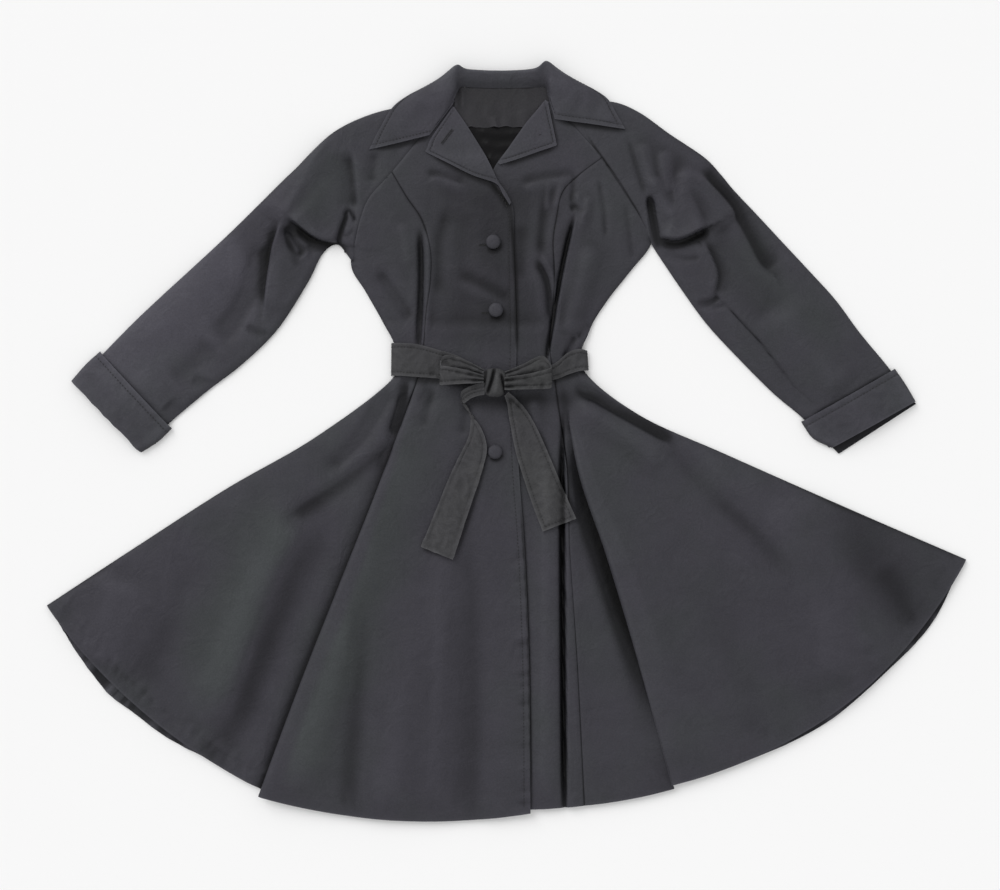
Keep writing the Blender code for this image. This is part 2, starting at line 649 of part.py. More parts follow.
def make_neck(coat, facing, lining):
    """Back neck facing and lining inside the neck, the two lapels and the collar."""
    edges = [smooth(column(FACING, name), INSIDE_STEPS) for name in Inside._fields]
    plate("back_facing", span(*edges, COLUMNS["facing"]), inside_level, FACING_CLOTH, facing)
    edges = [smooth(column(LINING, name), INSIDE_STEPS) for name in Inside._fields]
    plate("lining", span(*edges, COLUMNS["lining"]), inside_level, LINING_CLOTH, lining)

    for side, table in (("right", LAPEL_RIGHT), ("left", LAPEL_LEFT)):
        outer, fold = (smooth(column(table, name)) for name in Lapel._fields)

        def lapel_top(x, y):
            """Over the front, dipping a little at the fold."""
            rolled = dome(np.abs(distance_to(fold, x, y)[0]) / LAPEL_ROLL)
            return front_top(x, y) + LAPEL_LIFT + LAPEL_DIP * (rolled - 1)

        plan = span(outer, fold, COLUMNS["lapel"], None, (False, True))
        cloth("lapel_" + side, raised(plan, lapel_top), CLOTH, coat)

    rows = smooth([np.concatenate(leaf) for leaf in COLLAR], COLLAR_STEPS_ALONG)
    grid = np.array([smooth(row.reshape(len(Leaf._fields), 3), COLLAR_STEPS_ACROSS) for row in rows])
    grid[..., 2] = np.maximum(grid[..., 2], 0)
    cloth("collar", grid, COLLAR_CLOTH, coat)


def strip_grid(table, lift, ground):
    """A belt strip laid over the ground, lifted at the knot as its table says."""
    first, second = (smooth(column(table, name)) for name in ("first", "second"))
    rise = smooth([[row.rise] for row in table])
    plan = span(first, second, COLUMNS["belt"])
    return np.concatenate([plan, ground(plan[..., 0], plan[..., 1])[..., None] + lift + rise[:, None]], -1)


def make_belt(finish):
    """Sash belt: the stretches round the waist, the bow's loops, its knot and its tails."""
    cloth("belt_right", strip_grid(BELT_RIGHT, BELT_LIFT, belt_ground), BELT_CLOTH, finish)
    cloth("belt_left", strip_grid(BELT_LEFT, BELT_LIFT, belt_ground), BELT_CLOTH, finish)
    edges = [smooth(column(BELT_BACK, name)) for name in ("first", "second")]
    plate("belt_back", span(*edges, COLUMNS["belt_back"]), on_floor, CLOTH, finish)

    for name, table in (("tail_right", TAIL_RIGHT), ("tail_left", TAIL_LEFT)):
        cloth(name, strip_grid(table, TAIL_LIFT, front_top), BELT_CLOTH, finish)

    for name, table in (("bow_loop_right", BOW_RIGHT), ("bow_loop_left", BOW_LEFT)):
        path = smooth(table)
        offset = np.linspace(-0.5, 0.5, COLUMNS["belt"] + 1)
        x = np.repeat(path[:, :1], len(offset), 1)
        y = path[:, 1:2] + path[:, 2:3] * offset
        z = front_top(x, y).max() + BOW_LIFT + np.repeat(path[:, 3:], len(offset), 1)
        cloth(name, np.stack([x, y, z], -1), BELT_CLOTH, finish)

    made = bmesh.new()
    bmesh.ops.create_uvsphere(made, u_segments=KNOT_SEGMENTS, v_segments=KNOT_RINGS, radius=1)
    points = np.array([vertex.co for vertex in made.verts])
    points /= (np.abs(points) ** KNOT_POWER).sum(1, keepdims=True) ** (1 / KNOT_POWER)
    faces = [[vertex.index for vertex in face.verts] for face in made.faces]
    made.free()
    floor = front_top(*np.array([KNOT_CENTRE], float).T).max() + KNOT_GAP
    centre = np.array([*KNOT_CENTRE, floor + KNOT_SIZE[2] / 2])
    add_mesh("belt_knot", centre + points * np.array(KNOT_SIZE) / 2, faces, finish)


def make_buttons(finish):
    """Domed cloth-covered buttons on the closing edge."""
    turns = np.linspace(0, 2 * np.pi, BUTTON_SIDES, endpoint=False)
    round_x, round_y = BUTTON_DIAMETER / 2 * np.cos(turns), BUTTON_DIAMETER / 2 * np.sin(turns)
    for name, (x, y) in BUTTONS.items():
        floor = front_top(np.append(x + round_x, x), np.append(y + round_y, y)).max() + STACK_GAP
        points, faces = [(x, y, floor)], []
        for ring in BUTTON_RINGS:
            height = np.full(BUTTON_SIDES, floor + ring.height * BUTTON_HEIGHT)
            points.extend(zip(x + ring.reach * round_x, y + ring.reach * round_y, height))
        points.append((x, y, floor + BUTTON_HEIGHT))
        last_ring = 1 + (len(BUTTON_RINGS) - 1) * BUTTON_SIDES
        for k in range(BUTTON_SIDES):
            after = (k + 1) % BUTTON_SIDES
            faces.append([0, 1 + after, 1 + k])
            for low in range(1, last_ring, BUTTON_SIDES):
                high = low + BUTTON_SIDES
                faces.append([low + k, low + after, high + after, high + k])
            faces.append([last_ring + k, last_ring + after, len(points) - 1])
        add_mesh(name, points, faces, finish)


def main():
    for old in list(bpy.data.objects):
        bpy.data.objects.remove(old)
    coat = material("coat_twill", COAT, COAT_ROUGHNESS)
    belt = material("belt_twill", BELT_TONE, COAT_ROUGHNESS)
    facing = material("facing_twill", FACING_TONE, COAT_ROUGHNESS)
    lining = material("lining_satin", LINING_TONE, LINING_ROUGHNESS)
    make_body(coat)
    make_sleeve("right", SLEEVE_RIGHT, CUFF_RIGHT, 1, coat)
    make_sleeve("left", SLEEVE_LEFT, CUFF_LEFT, -1, coat)
    make_neck(coat, facing, lining)
    make_belt(belt)
    make_buttons(coat)


main()
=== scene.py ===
# %% [markdown]
# # A princess coat, laid flat
# This lesson dresses the plain solids of a princess coat, whose long panels run from the shoulder to the
# hem without a seam at the waist. It lies on its back, buttoned and belted. The solids give its true
# outline and its largest folds. The script lays finer cloth over them, one thin shell for each sewn
# piece, and adds creases, seams, topstitching, buttons and light. Cloth can also be simulated in Blender.
# Here each fold is a line in a table, because a simulation would lay the folds in other places than the
# real coat has them. Left and right are the wearer's, so the right side lies at -X. Tables are in
# millimetres.

import json
from collections import namedtuple

import bmesh
import bpy
import numpy as np
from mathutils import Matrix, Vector, noise

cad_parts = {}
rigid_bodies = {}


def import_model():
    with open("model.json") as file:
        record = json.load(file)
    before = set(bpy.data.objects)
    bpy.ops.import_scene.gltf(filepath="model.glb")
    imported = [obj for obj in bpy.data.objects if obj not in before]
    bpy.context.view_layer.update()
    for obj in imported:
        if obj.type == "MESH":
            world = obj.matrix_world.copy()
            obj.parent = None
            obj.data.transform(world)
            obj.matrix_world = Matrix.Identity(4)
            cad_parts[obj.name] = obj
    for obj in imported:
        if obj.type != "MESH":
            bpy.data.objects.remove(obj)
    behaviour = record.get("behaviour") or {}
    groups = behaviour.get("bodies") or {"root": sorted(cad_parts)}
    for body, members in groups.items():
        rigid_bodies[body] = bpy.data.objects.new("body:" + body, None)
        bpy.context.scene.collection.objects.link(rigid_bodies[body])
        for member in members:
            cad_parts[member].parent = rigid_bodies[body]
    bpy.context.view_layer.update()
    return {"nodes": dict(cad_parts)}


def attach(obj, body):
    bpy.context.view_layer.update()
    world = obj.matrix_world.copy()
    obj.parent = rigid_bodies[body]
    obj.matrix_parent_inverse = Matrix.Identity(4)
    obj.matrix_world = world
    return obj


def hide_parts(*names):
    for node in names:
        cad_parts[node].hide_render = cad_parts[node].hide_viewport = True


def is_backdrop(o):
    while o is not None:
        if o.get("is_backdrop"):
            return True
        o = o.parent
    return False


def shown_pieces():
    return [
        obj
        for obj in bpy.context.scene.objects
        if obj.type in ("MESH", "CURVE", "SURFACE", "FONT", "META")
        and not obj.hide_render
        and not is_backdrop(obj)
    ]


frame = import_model()
MM = 0.001
print("solids:", len(frame["nodes"]), "nodes")

# %% [markdown]
# ## The cut
# A coat is cut in flat panels, and its seams run between them from the neck to the hem. The panels could
# be modelled one by one, but then their edges would hardly meet. So this table gives all the seam lines
# together: each row is a station down the coat with one point on every seam. The solids were made on the
# same lines, so each shell lies on its solid.

# %% Seam lines of the body
STATION_LINES = "side_right princess_right closing underlap princess_left fold_left side_left"
Station = namedtuple("Station", STATION_LINES)
BODY = [
    Station((-179, 397), (-172, 405), (-86, 511), (66, 513), (144, 427), (147, 421), (150, 416)),
    Station((-206, 366), (-149, 366), (-58, 472), (45, 497), (108, 400), (132, 388), (168, 393)),
    Station((-219, 335), (-127, 333), (-31, 429), (29, 478), (84, 374), (116, 356), (190, 355)),
    Station((-227, 300), (-114, 288), (-12, 389), (4, 443), (75, 335), (104, 325), (206, 326)),
    Station((-233, 262), (-114, 240), (9, 355), (-17, 414), (70, 300), (93, 282), (217, 297)),
    Station((-212, 226), (-121, 190), (11, 290), (-36, 370), (72, 255), (84, 240), (186, 256)),
    Station((-186, 180), (-124, 150), (13, 225), (-36, 290), (70, 200), (81, 195), (150, 210)),
    Station((-167, 140), (-132, 100), (15, 150), (-33, 200), (65, 140), (77, 145), (124, 165)),
    Station((-172, 94), (-160, 20), (14, 60), (-30, 100), (74, 80), (86, 84), (115, 109)),
    Station((-290, 5), (-205, -100), (19, -50), (-28, -40), (90, -40), (107, -45), (200, 40)),
    Station((-420, -70), (-252, -218), (27, -160), (-20, -160), (95, -165), (150, -174), (330, -19)),
    Station((-560, -160), (-310, -365), (34, -340), (-10, -330), (106, -330), (198, -334), (520, -103)),
    Station((-691, -246), (-372, -531), (36, -557), (-8, -552), (117, -546), (249, -521), (691, -177)),
]
FIRST_SKIRT_STATION, FIRST_SIDE_STATION = 8, 4
HEM_SAG = {"side_front_right": 29, "front_right": 24, "front_left": 2, "fold": 3, "side_front_left": 60}
SAG_GROWTH = 1.6
HEM_LINE = [
    (-691, -246), (-543, -405), (-372, -531), (-139, -569), (117, -546), (249, -521), (478, -421),
    (691, -177),
]
print("stations of the body:", len(BODY))

# %% [markdown]
# A raglan sleeve runs up to the neck, so its seam with the front is a slanting line. A sleeve that lies
# flat is bounded by two lines. The upper one is its fold along the arm. The lower one is the raglan seam
# as far as the armpit, and the fold under the arm from there on. The body's stations share the points of
# that seam.

# %% Sleeve lines
Sleeve = namedtuple("Sleeve", "upper lower")
SLEEVE_RIGHT = [
    Sleeve((-98, 506), (-90, 506)),
    Sleeve((-140, 505), (-131, 456)),
    Sleeve((-185, 498), (-172, 405)),
    Sleeve((-228, 483), (-206, 366)),
    Sleeve((-262, 464), (-219, 335)),
    Sleeve((-290, 439), (-228, 300)),
    Sleeve((-315, 413), (-231, 272)),
    Sleeve((-338, 391), (-253, 296)),
    Sleeve((-375, 354), (-276, 283)),
    Sleeve((-420, 310), (-300, 237)),
    Sleeve((-474, 260), (-345, 168)),
    Sleeve((-522, 216), (-398, 116)),
    Sleeve((-563, 177), (-450, 76)),
    Sleeve((-605, 134), (-507, 28)),
    Sleeve((-641, 95), (-543, -6)),
]
SLEEVE_LEFT = [
    Sleeve((80, 505), (70, 508)),
    Sleeve((118, 508), (108, 467)),
    Sleeve((160, 511), (144, 427)),
    Sleeve((200, 495), (168, 393)),
    Sleeve((245, 463), (190, 355)),
    Sleeve((297, 428), (207, 326)),
    Sleeve((322, 402), (216, 301)),
    Sleeve((342, 378), (226, 284)),
    Sleeve((375, 343), (240, 263)),
    Sleeve((415, 300), (263, 229)),
    Sleeve((457, 255), (301, 177)),
    Sleeve((495, 213), (349, 125)),
    Sleeve((532, 163), (401, 73)),
    Sleeve((578, 107), (447, 34)),
    Sleeve((611, 59), (485, -9)),
]
ARMPIT_STATION, CUFF_STATION = 7, 13
print("stations of a sleeve:", len(SLEEVE_RIGHT))

# %% [markdown]
# ## Curves and distances
# A pattern maker draws a seam with a curved ruler through a few marks. A Catmull-Rom curve does the same:
# it runs smoothly through every point of a table. Blender's own curves could be used, but here two
# neighbouring lines need the same number of steps, so that a grid of faces can be laid between them.

# %% Curves


def smooth(knots, steps):
    """Points on a smooth curve through the knots, with a number of steps between each two."""
    knots = np.array(knots, float)
    before = np.vstack([2 * knots[:1] - knots[1:2], knots[:-1]])[:-1]
    after = np.vstack([knots[1:], 2 * knots[-1:] - knots[-2:-1]])[1:]
    steps = np.broadcast_to(steps, len(knots) - 1)
    points = []
    for p0, p1, p2, p3, count in zip(before, knots[:-1], knots[1:], after, steps):
        for t in np.arange(count) / count:
            bend = (2 * p0 - 5 * p1 + 4 * p2 - p3) * t + (3 * p1 - p0 - 3 * p2 + p3) * t * t
            points.append(p1 + 0.5 * t * (p2 - p0 + bend))
    return np.array(points + [knots[-1]])


def column(rows, name):
    """One column of a table as a list of points."""
    return [getattr(row, name) for row in rows]


def steps_for(lines, cell):
    """Steps between each two stations, so that no line's step is longer than the cell."""
    runs = [np.linalg.norm(np.diff(np.array(line, float), axis=0), axis=-1) for line in lines]
    return np.ceil(np.max(runs, axis=0) / cell).astype(int)


def ease(value):
    """0 below 0, 1 above 1, and a soft rise between."""
    value = np.clip(value, 0, 1)
    return value * value * (3 - 2 * value)


def dome(value):
    """A quarter of a circle: steep at 0 and level at 1."""
    return np.sqrt(1 - (1 - np.clip(value, 0, 1)) ** 2)


print("half way up a soft rise:", float(ease(0.5)))

# %% [markdown]
# Folds, rolled edges and seams all depend on how far a place on the cloth is from some line. This
# function measures that for a whole grid at once with NumPy. A loop over the points would take minutes.

# %% Distances
CHUNK = 4000


def distance_to(line, x, y):
    """Signed distance to a plan line (above 0 to the right of one that runs down) and the share along it."""
    starts, runs = line[:-1], np.diff(line, axis=0)
    lengths = np.hypot(runs[:, 0], runs[:, 1])
    along = np.concatenate([[0], np.cumsum(lengths)])
    points = np.stack([np.ravel(x), np.ravel(y)], -1)
    gaps, places = [], []
    for part in np.array_split(points, len(points) // CHUNK + 1):
        dx, dy = part[:, :1] - starts[:, 0], part[:, 1:] - starts[:, 1]
        share = np.clip((dx * runs[:, 0] + dy * runs[:, 1]) / lengths**2, 0, 1)
        gap = np.hypot(dx - share * runs[:, 0], dy - share * runs[:, 1])
        rows, nearest = np.arange(len(part)), gap.argmin(-1)
        side = (runs[:, 0] * dy - runs[:, 1] * dx)[rows, nearest]
        gaps.append(np.where(side < 0, -1, 1) * gap[rows, nearest])
        places.append((along[:-1] + share * lengths)[rows, nearest] / along[-1])
    return np.concatenate(gaps).reshape(np.shape(x)), np.concatenate(places).reshape(np.shape(x))


def near_line(line, x, y, reach):
    """Which points lie in the box round a line, widened by a reach."""
    low, high = line.min(0) - reach, line.max(0) + reach
    return (x > low[0]) & (x < high[0]) & (y > low[1]) & (y < high[1])


def shifted(line, distance):
    """A plan line moved sideways, to the viewer's right of a line that runs down."""
    run = np.gradient(line, axis=0)
    run /= np.hypot(run[:, 0], run[:, 1])[:, None]
    return line + distance * np.stack([-run[:, 1], run[:, 0]], -1)


down_line = np.array([(0.0, 0.0), (0.0, -10.0)])
print("a place to the right of a line:", distance_to(down_line, np.array([3.0]), np.array([-5.0])))

# %% Seams as curves
CELL, SLEEVE_CELL = 4.5, 2.8
HEM_STEPS, CLOSING_STEPS, SLEEVE_SEAM_STEPS = 4, 6, 6


def station_of_row(steps):
    """The station that each row of a grid lies at, in parts between two stations."""
    return np.concatenate([k + np.arange(n) / n for k, n in enumerate(steps)] + [[len(steps)]])


BODY_STEPS = steps_for([column(BODY, name) for name in Station._fields], CELL)
SEAMS = {name: smooth(column(BODY, name), BODY_STEPS) for name in Station._fields}
STATION_OF_ROW = station_of_row(BODY_STEPS)
SIDE_ROW = int(BODY_STEPS[:FIRST_SIDE_STATION].sum())
SKIRT_ROW = int(BODY_STEPS[:FIRST_SKIRT_STATION].sum())
SleeveLines = namedtuple("SleeveLines", "upper lower steps armpit_row")
SLEEVE_LINES = {}
for side, table in (("right", SLEEVE_RIGHT), ("left", SLEEVE_LEFT)):
    steps = steps_for([column(table, name) for name in Sleeve._fields], SLEEVE_CELL)
    edges = [smooth(column(table, name), steps) for name in Sleeve._fields]
    SLEEVE_LINES[side] = SleeveLines(*edges, steps, int(steps[: ARMPIT_STATION - 1].sum()))
ROLLED_EDGES = [SEAMS["side_right"][SIDE_ROW:], SEAMS["side_left"][SIDE_ROW:]]
SLEEVE_SEAM = [(289, 300), (304, 274), (314, 244), (314, 222), (327, 207), (379, 151), (424, 91), (465, 54)]
SEWN_LINES = [SEAMS["princess_right"][:SKIRT_ROW], SEAMS["princess_left"]]
SEWN_LINES.append(smooth(SLEEVE_SEAM, SLEEVE_SEAM_STEPS))
for lines in SLEEVE_LINES.values():
    ROLLED_EDGES += [lines.upper[lines.steps[0]:], lines.lower[lines.armpit_row:]]
    SEWN_LINES.append(lines.lower[: lines.armpit_row])
HEM = smooth(HEM_LINE, HEM_STEPS)
CLOSING = smooth(column(BODY, "closing"), CLOSING_STEPS)
print("rows of the body:", len(STATION_OF_ROW), "sewn lines:", len(SEWN_LINES))

# %% [markdown]
# ## Folds and creases
# Cloth that is laid out by hand keeps folds where it was pulled or bent. They could be sculpted, but a
# table is easier to read and to mend. Each row is one fold along a bent line. `left` and `right` are its
# widths on either side, seen along a line that runs down the picture; for a line that runs to the right,
# they lie below and above it. A "soft" fold is a rounded trough or ridge, a "crest" has a narrow top, and
# a "lip" is a step that is high on its right side.

# %% Large folds
Fold = namedtuple("Fold", "start bend end left right height shape", defaults=["soft"])
FOLDS = [
    # right half of the skirt
    Fold((-290, -80), (-375, -215), (-450, -430), 60, 32, 6),
    Fold((-262, -66), (-328, -240), (-458, -515), 36, 46, -1.9),
    Fold((-560, -200), (-585, -260), (-620, -330), 45, 45, 5),
    Fold((-345, -128), (-250, -66), (-165, -4), 20, 12, -3.4),
    Fold((-172, 92), (-215, 9), (-270, -45), 13, 13, -4.4),
    Fold((-182, -57), (-255, -300), (-325, -537), 30, 30, 3),
    Fold((-110, -190), (-150, -380), (-180, -560), 40, 40, 4.4),
    Fold((-20, -120), (-40, -330), (-60, -560), 45, 45, -3.8),
    # left half of the skirt
    Fold((84, 60), (85, -230), (88, -556), 4.5, 3, -10),
    Fold((88, 60), (89, -230), (92, -556), 3, 16, 4),
    Fold((60, 20), (60, -250), (58, -550), 18, 18, 5),
    Fold((94, 90), (162, 50), (252, 4), 10, 10, -8),
    Fold((110, 98), (185, 62), (275, 12), 12, 12, 6),
    Fold((96, 66), (165, 24), (240, -30), 20, 18, 7),
    Fold((222, 24), (290, -60), (430, -195), 24, 20, -2.2),
    Fold((300, -76), (375, -128), (470, -155), 20, 18, -0.9),
    Fold((420, -60), (470, -200), (520, -360), 60, 60, 6),
    Fold((300, -200), (340, -330), (380, -460), 45, 45, -1.6),
    # bodice
    Fold((-129, 328), (-127, 240), (-131, 138), 6, 3, -6),
    Fold((-88, 361), (-100, 300), (-103, 218), 9, 12, -2.2),
    Fold((105, 350), (84, 255), (61, 122), 10, 26, 9, "lip"),
    Fold((104, 345), (83.5, 255), (60.5, 122), 3, 2.2, -6),
    Fold((130, 300), (112, 230), (95, 160), 15, 15, 5),
    # right sleeve
    Fold((-259, 474), (-300, 398), (-341, 326), 35, 30, 9, "crest"),
    Fold((-338, 336), (-356, 275), (-365, 198), 14, 40, 10, "lip"),
    Fold((-356, 300), (-378, 235), (-426, 150), 25, 12, -7),
    Fold((-330, 338), (-287, 305), (-248, 297), 15, 40, 15, "lip"),
    Fold((-420, 280), (-480, 210), (-560, 140), 40, 40, 7),
    # left sleeve
    Fold((214, 372), (220, 334), (226, 292), 4.5, 4.5, -13),
    Fold((226, 308), (258, 303), (302, 322), 11, 35, 17, "lip"),
    Fold((250, 402), (305, 383), (347, 335), 30, 12, 8, "crest"),
    Fold((288, 414), (345, 352), (397, 258), 9, 22, -10),
    Fold((296, 302), (316, 255), (312, 220), 14, 14, -6, "lip"),
    Fold((400, 210), (450, 140), (510, 80), 38, 38, 6),
]
print("large folds:", len(FOLDS))

# %% Fine creases
CREASES = [
    # right sleeve
    Fold((-332, 327), (-322, 300), (-300, 280), 8, 8, -6),
    Fold((-302, 287), (-280, 290), (-260, 293), 7, 6, -6),
    Fold((-237, 440), (-232, 395), (-228, 348), 16, 5, -5),
    Fold((-256, 290), (-248, 318), (-239, 343), 5, 3.5, -4),
    Fold((-246, 338), (-236, 347), (-226, 330), 3, 3, -3.4),
    Fold((-247, 312), (-238, 309), (-229, 318), 2.2, 2.2, -1.6),
    Fold((-310, 276), (-290, 284), (-262, 283), 5, 5, 3),
    Fold((-330, 318), (-322, 300), (-310, 284), 4, 4, 3.4),
    Fold((-197, 437), (-200, 412), (-203, 388), 10, 10, -3),
    Fold((-472, 97), (-455, 90), (-436, 85), 9, 5, -3),
    Fold((-512, 57), (-503, 48), (-493, 38), 12, 12, -3.5),
    Fold((-392, 174), (-376, 165), (-358, 160), 5, 5, -3),
    Fold((-437, 150), (-468, 120), (-500, 90), 18, 18, -3),
    # left sleeve
    Fold((236, 283), (262, 276), (292, 276), 6, 6, -2),
    Fold((321, 219), (306, 210), (288, 205), 5, 5, -4),
    Fold((217, 400), (232, 365), (248, 334), 9, 9, 3.5),
    Fold((180, 462), (195, 412), (208, 370), 5, 5, -2),
    Fold((202, 452), (211, 412), (222, 370), 9, 9, 3.5),
    Fold((236, 440), (238, 405), (246, 372), 9, 9, 2.5),
    Fold((332, 206), (315, 202), (292, 206), 6, 4, -1.6),
    Fold((318, 217), (379, 151), (432, 84), 1.9, 1.9, -1.2),
    # bodice
    Fold((-197, 262), (-170, 222), (-142, 182), 10, 10, -4),
    Fold((-77, 254), (-36, 236), (5, 213), 8, 11, -1.2),
    Fold((-80, 240), (-38, 222), (0, 201), 8, 8, 0.5),
    Fold((-160, 330), (-150, 300), (-146, 262), 8, 8, 1.8),
    Fold((-124, 406), (-95, 402), (-62, 390), 7, 6, -3),
    Fold((-118, 394), (-92, 391), (-64, 380), 6, 6, 2.2),
    Fold((43, 278), (61, 242), (69, 185), 8, 3, -4),
    Fold((52, 284), (70, 246), (76, 190), 3, 4, 2.4),
    Fold((-118, 330), (-117, 250), (-122, 150), 4, 5, 2.4),
    Fold((94, 347), (105, 352), (116, 341), 4, 6, -2.6),
    Fold((105, 376), (110, 354), (117, 332), 5, 5, 2.4),
    Fold((68, 398), (56, 345), (50, 280), 7, 10, -2.4),
    Fold((100, 408), (100, 385), (97, 358), 4, 6, -1.8),
    Fold((124, 370), (119, 345), (112, 321), 6, 6, 2.8),
    Fold((138, 400), (146, 350), (149, 305), 5, 5, -2),
    Fold((178, 366), (184, 320), (190, 270), 6, 6, -1.7),
    Fold((85, 121), (95, 140), (104, 159), 6, 6, -4),
    Fold((107, 153), (116, 165), (125, 176), 6, 6, -3.5),
    Fold((23, 332), (21, 290), (20, 243), 12, 12, -1.4),
    Fold((18, 391), (60, 400), (104, 405), 7, 7, -3),
    Fold((22, 380), (60, 389), (98, 393), 6, 6, 2),
    Fold((67, 393), (62, 372), (60, 347), 5, 5, 2.4),
    Fold((85, 391), (79, 370), (76, 350), 5, 5, 2),
    # skirt
    Fold((-148, 96), (-158, 55), (-172, 10), 8, 6, -4.4),
    Fold((-110, 88), (-116, 55), (-124, 20), 8, 8, -2.4),
    Fold((-60, 60), (-63, 35), (-66, 10), 10, 10, -1.8),
    Fold((40, 70), (42, 30), (45, -10), 8, 8, 2),
    Fold((-210, -200), (-225, -380), (-240, -560), 22, 22, -2.6),
    Fold((-95, -100), (-100, -330), (-112, -560), 18, 26, 2.6),
    Fold((480, -308), (520, -316), (560, -310), 10, 8, -1.2),
    Fold((560, -180), (590, -230), (610, -280), 22, 22, -1),
    Fold((-470, -160), (-500, -250), (-545, -370), 26, 26, -1.2),
]
print("fine creases:", len(CREASES))

# %% [markdown]
# A fold's profile is a function of the distance from its line, and the fold fades out at both ends. All
# the folds are added up, as light layers of clay would be.

# %% Profiles of the folds
FOLD_STEPS, FOLD_FADE, FOLD_LEFT_AT_END = 8, 0.22, 0.3
LIP_TURN, CREST_TIP = 1.6, 3.0


def soft(gap, width):
    """A rounded trough or ridge."""
    return np.exp(-((gap / width) ** 2))


def crest(gap, width):
    """A ridge with a narrow top and long sides."""
    return np.exp(-(np.hypot(gap, CREST_TIP) - CREST_TIP) / width)


def lip(gap, width):
    """A step, high on its right side, that eases back to nothing on both sides."""
    return 0.5 * np.tanh(gap / LIP_TURN) * np.exp(-np.abs(gap) / width)


PROFILES = {"soft": soft, "crest": crest, "lip": lip}
PROFILE_REACH = {"soft": 2.6, "crest": 4.5, "lip": 4.5}


def folds_at(table, x, y):
    """Sum of folds, each fading out at both ends."""
    total = np.zeros_like(x)
    for fold in table:
        line = smooth([fold.start, fold.bend, fold.end], FOLD_STEPS)
        near = near_line(line, x, y, PROFILE_REACH[fold.shape] * max(fold.left, fold.right))
        if not near.any():
            continue
        gap, place = distance_to(line, x[near], y[near])
        fade = ease(place / FOLD_FADE) * ease((1 - place) / FOLD_FADE + FOLD_LEFT_AT_END)
        width = np.where(gap < 0, fold.left, fold.right)
        total[near] += fold.height * PROFILES[fold.shape](gap, width) * fade
    return total


armpit = np.array([220.0]), np.array([334.0])
print("folds at the left armpit:", folds_at(FOLDS, *armpit).round(1), "mm")

# %% [markdown]
# ## Heights
# The front lies on the back with some air between, thins out to its rolled edges and the hem, and rises
# over the belt that passes behind. All the upper panels take their height from one function, so they meet
# at their seams without any welding. Displacing each panel by itself would leave cracks there.

# %% The large fold of the left side front
FOLD_RISE, FOLD_REACH, FOLD_TOP, FOLD_GROWTH = 17.0, 75.0, 60.0, 110.0
FOLD_CLOSES, FOLD_CLOSING, FOLD_LEFT_AT_HEM = -190.0, 260.0, 0.12
FOLD_VALLEY, FOLD_VALLEY_WIDTH, FOLD_SLACK = 6.0, 26.0, 1.0


def fold_growth(y):
    """How far the large fold of the left side front has opened at a height on the skirt."""
    closing = (1 - FOLD_LEFT_AT_HEM) * ease((FOLD_CLOSES - y) / FOLD_CLOSING)
    return ease((FOLD_TOP - y) / FOLD_GROWTH) * (1 - closing)


def fold_step(x, y):
    """The top layer of the large fold, sloping away behind its edge."""
    gap = distance_to(SEAMS["fold_left"], x, y)[0]
    rise = FOLD_RISE * fold_growth(y) * np.exp(-np.maximum(gap, 0) / FOLD_REACH)
    return np.where(gap > -FOLD_SLACK, rise, 0)


def fold_valley(x, y):
    """The hollow under the edge of the large fold."""
    gap = np.minimum(distance_to(SEAMS["fold_left"], x, y)[0], 0)
    return FOLD_VALLEY * fold_growth(y) * np.exp(-((gap / FOLD_VALLEY_WIDTH) ** 2))


print("opening of the large fold on the skirt:", round(float(fold_growth(-100.0)), 2))

# %% Top of the upper cloth
FLAT_TOP, LOWEST_TOP, EDGE_TOP, EDGE_ROLL = 5.3, 3.6, 2.0, 12.0
CROWN, CROWN_REACH, HEM_EASE, HEM_CROWN = 7.0, 70.0, 90.0, 0.4
COLLAR_MIDDLE, CROWN_STARTS, CROWN_FULL = (-10, 510), 115.0, 270.0
EDGE_REACH, FOLD_LEFT_AT_COLLAR = 300.0, 0.85
WAIST_LOW, WAIST_HIGH, WAIST_RAMP, BELT_RAISE = 82.0, 164.0, 22.0, 2.5
FRONT_HALF_WAIST, HALF_WAIST_FADE = 260.0, 40.0
SEAM_DIP, SEAM_WIDTH, SEAM_NEAR, RELIEF = 1.2, 1.3, 4, 1.3


def waist_raise(y):
    """How far the back and all above it rise over the belt that passes behind."""
    return BELT_RAISE * ease((y - WAIST_LOW) / WAIST_RAMP + 1) * ease((WAIST_HIGH - y) / WAIST_RAMP + 1)


def seam_dip(x, y):
    """The narrow dip along a sewn seam."""
    total = np.zeros_like(x)
    for line in SEWN_LINES:
        near = near_line(line, x, y, SEAM_NEAR * SEAM_WIDTH)
        if near.any():
            gap = distance_to(line, x[near], y[near])[0]
            total[near] = np.maximum(total[near], np.exp(-np.abs(gap) / SEAM_WIDTH))
    return SEAM_DIP * total


def edge_gap(x, y):
    """Distance to the nearest rolled edge of the coat."""
    gap = np.full(np.shape(x), EDGE_REACH)
    for line in ROLLED_EDGES:
        near = near_line(line, x, y, EDGE_REACH)
        if near.any():
            gap[near] = np.minimum(gap[near], np.abs(distance_to(line, x[near], y[near])[0]))
    return gap


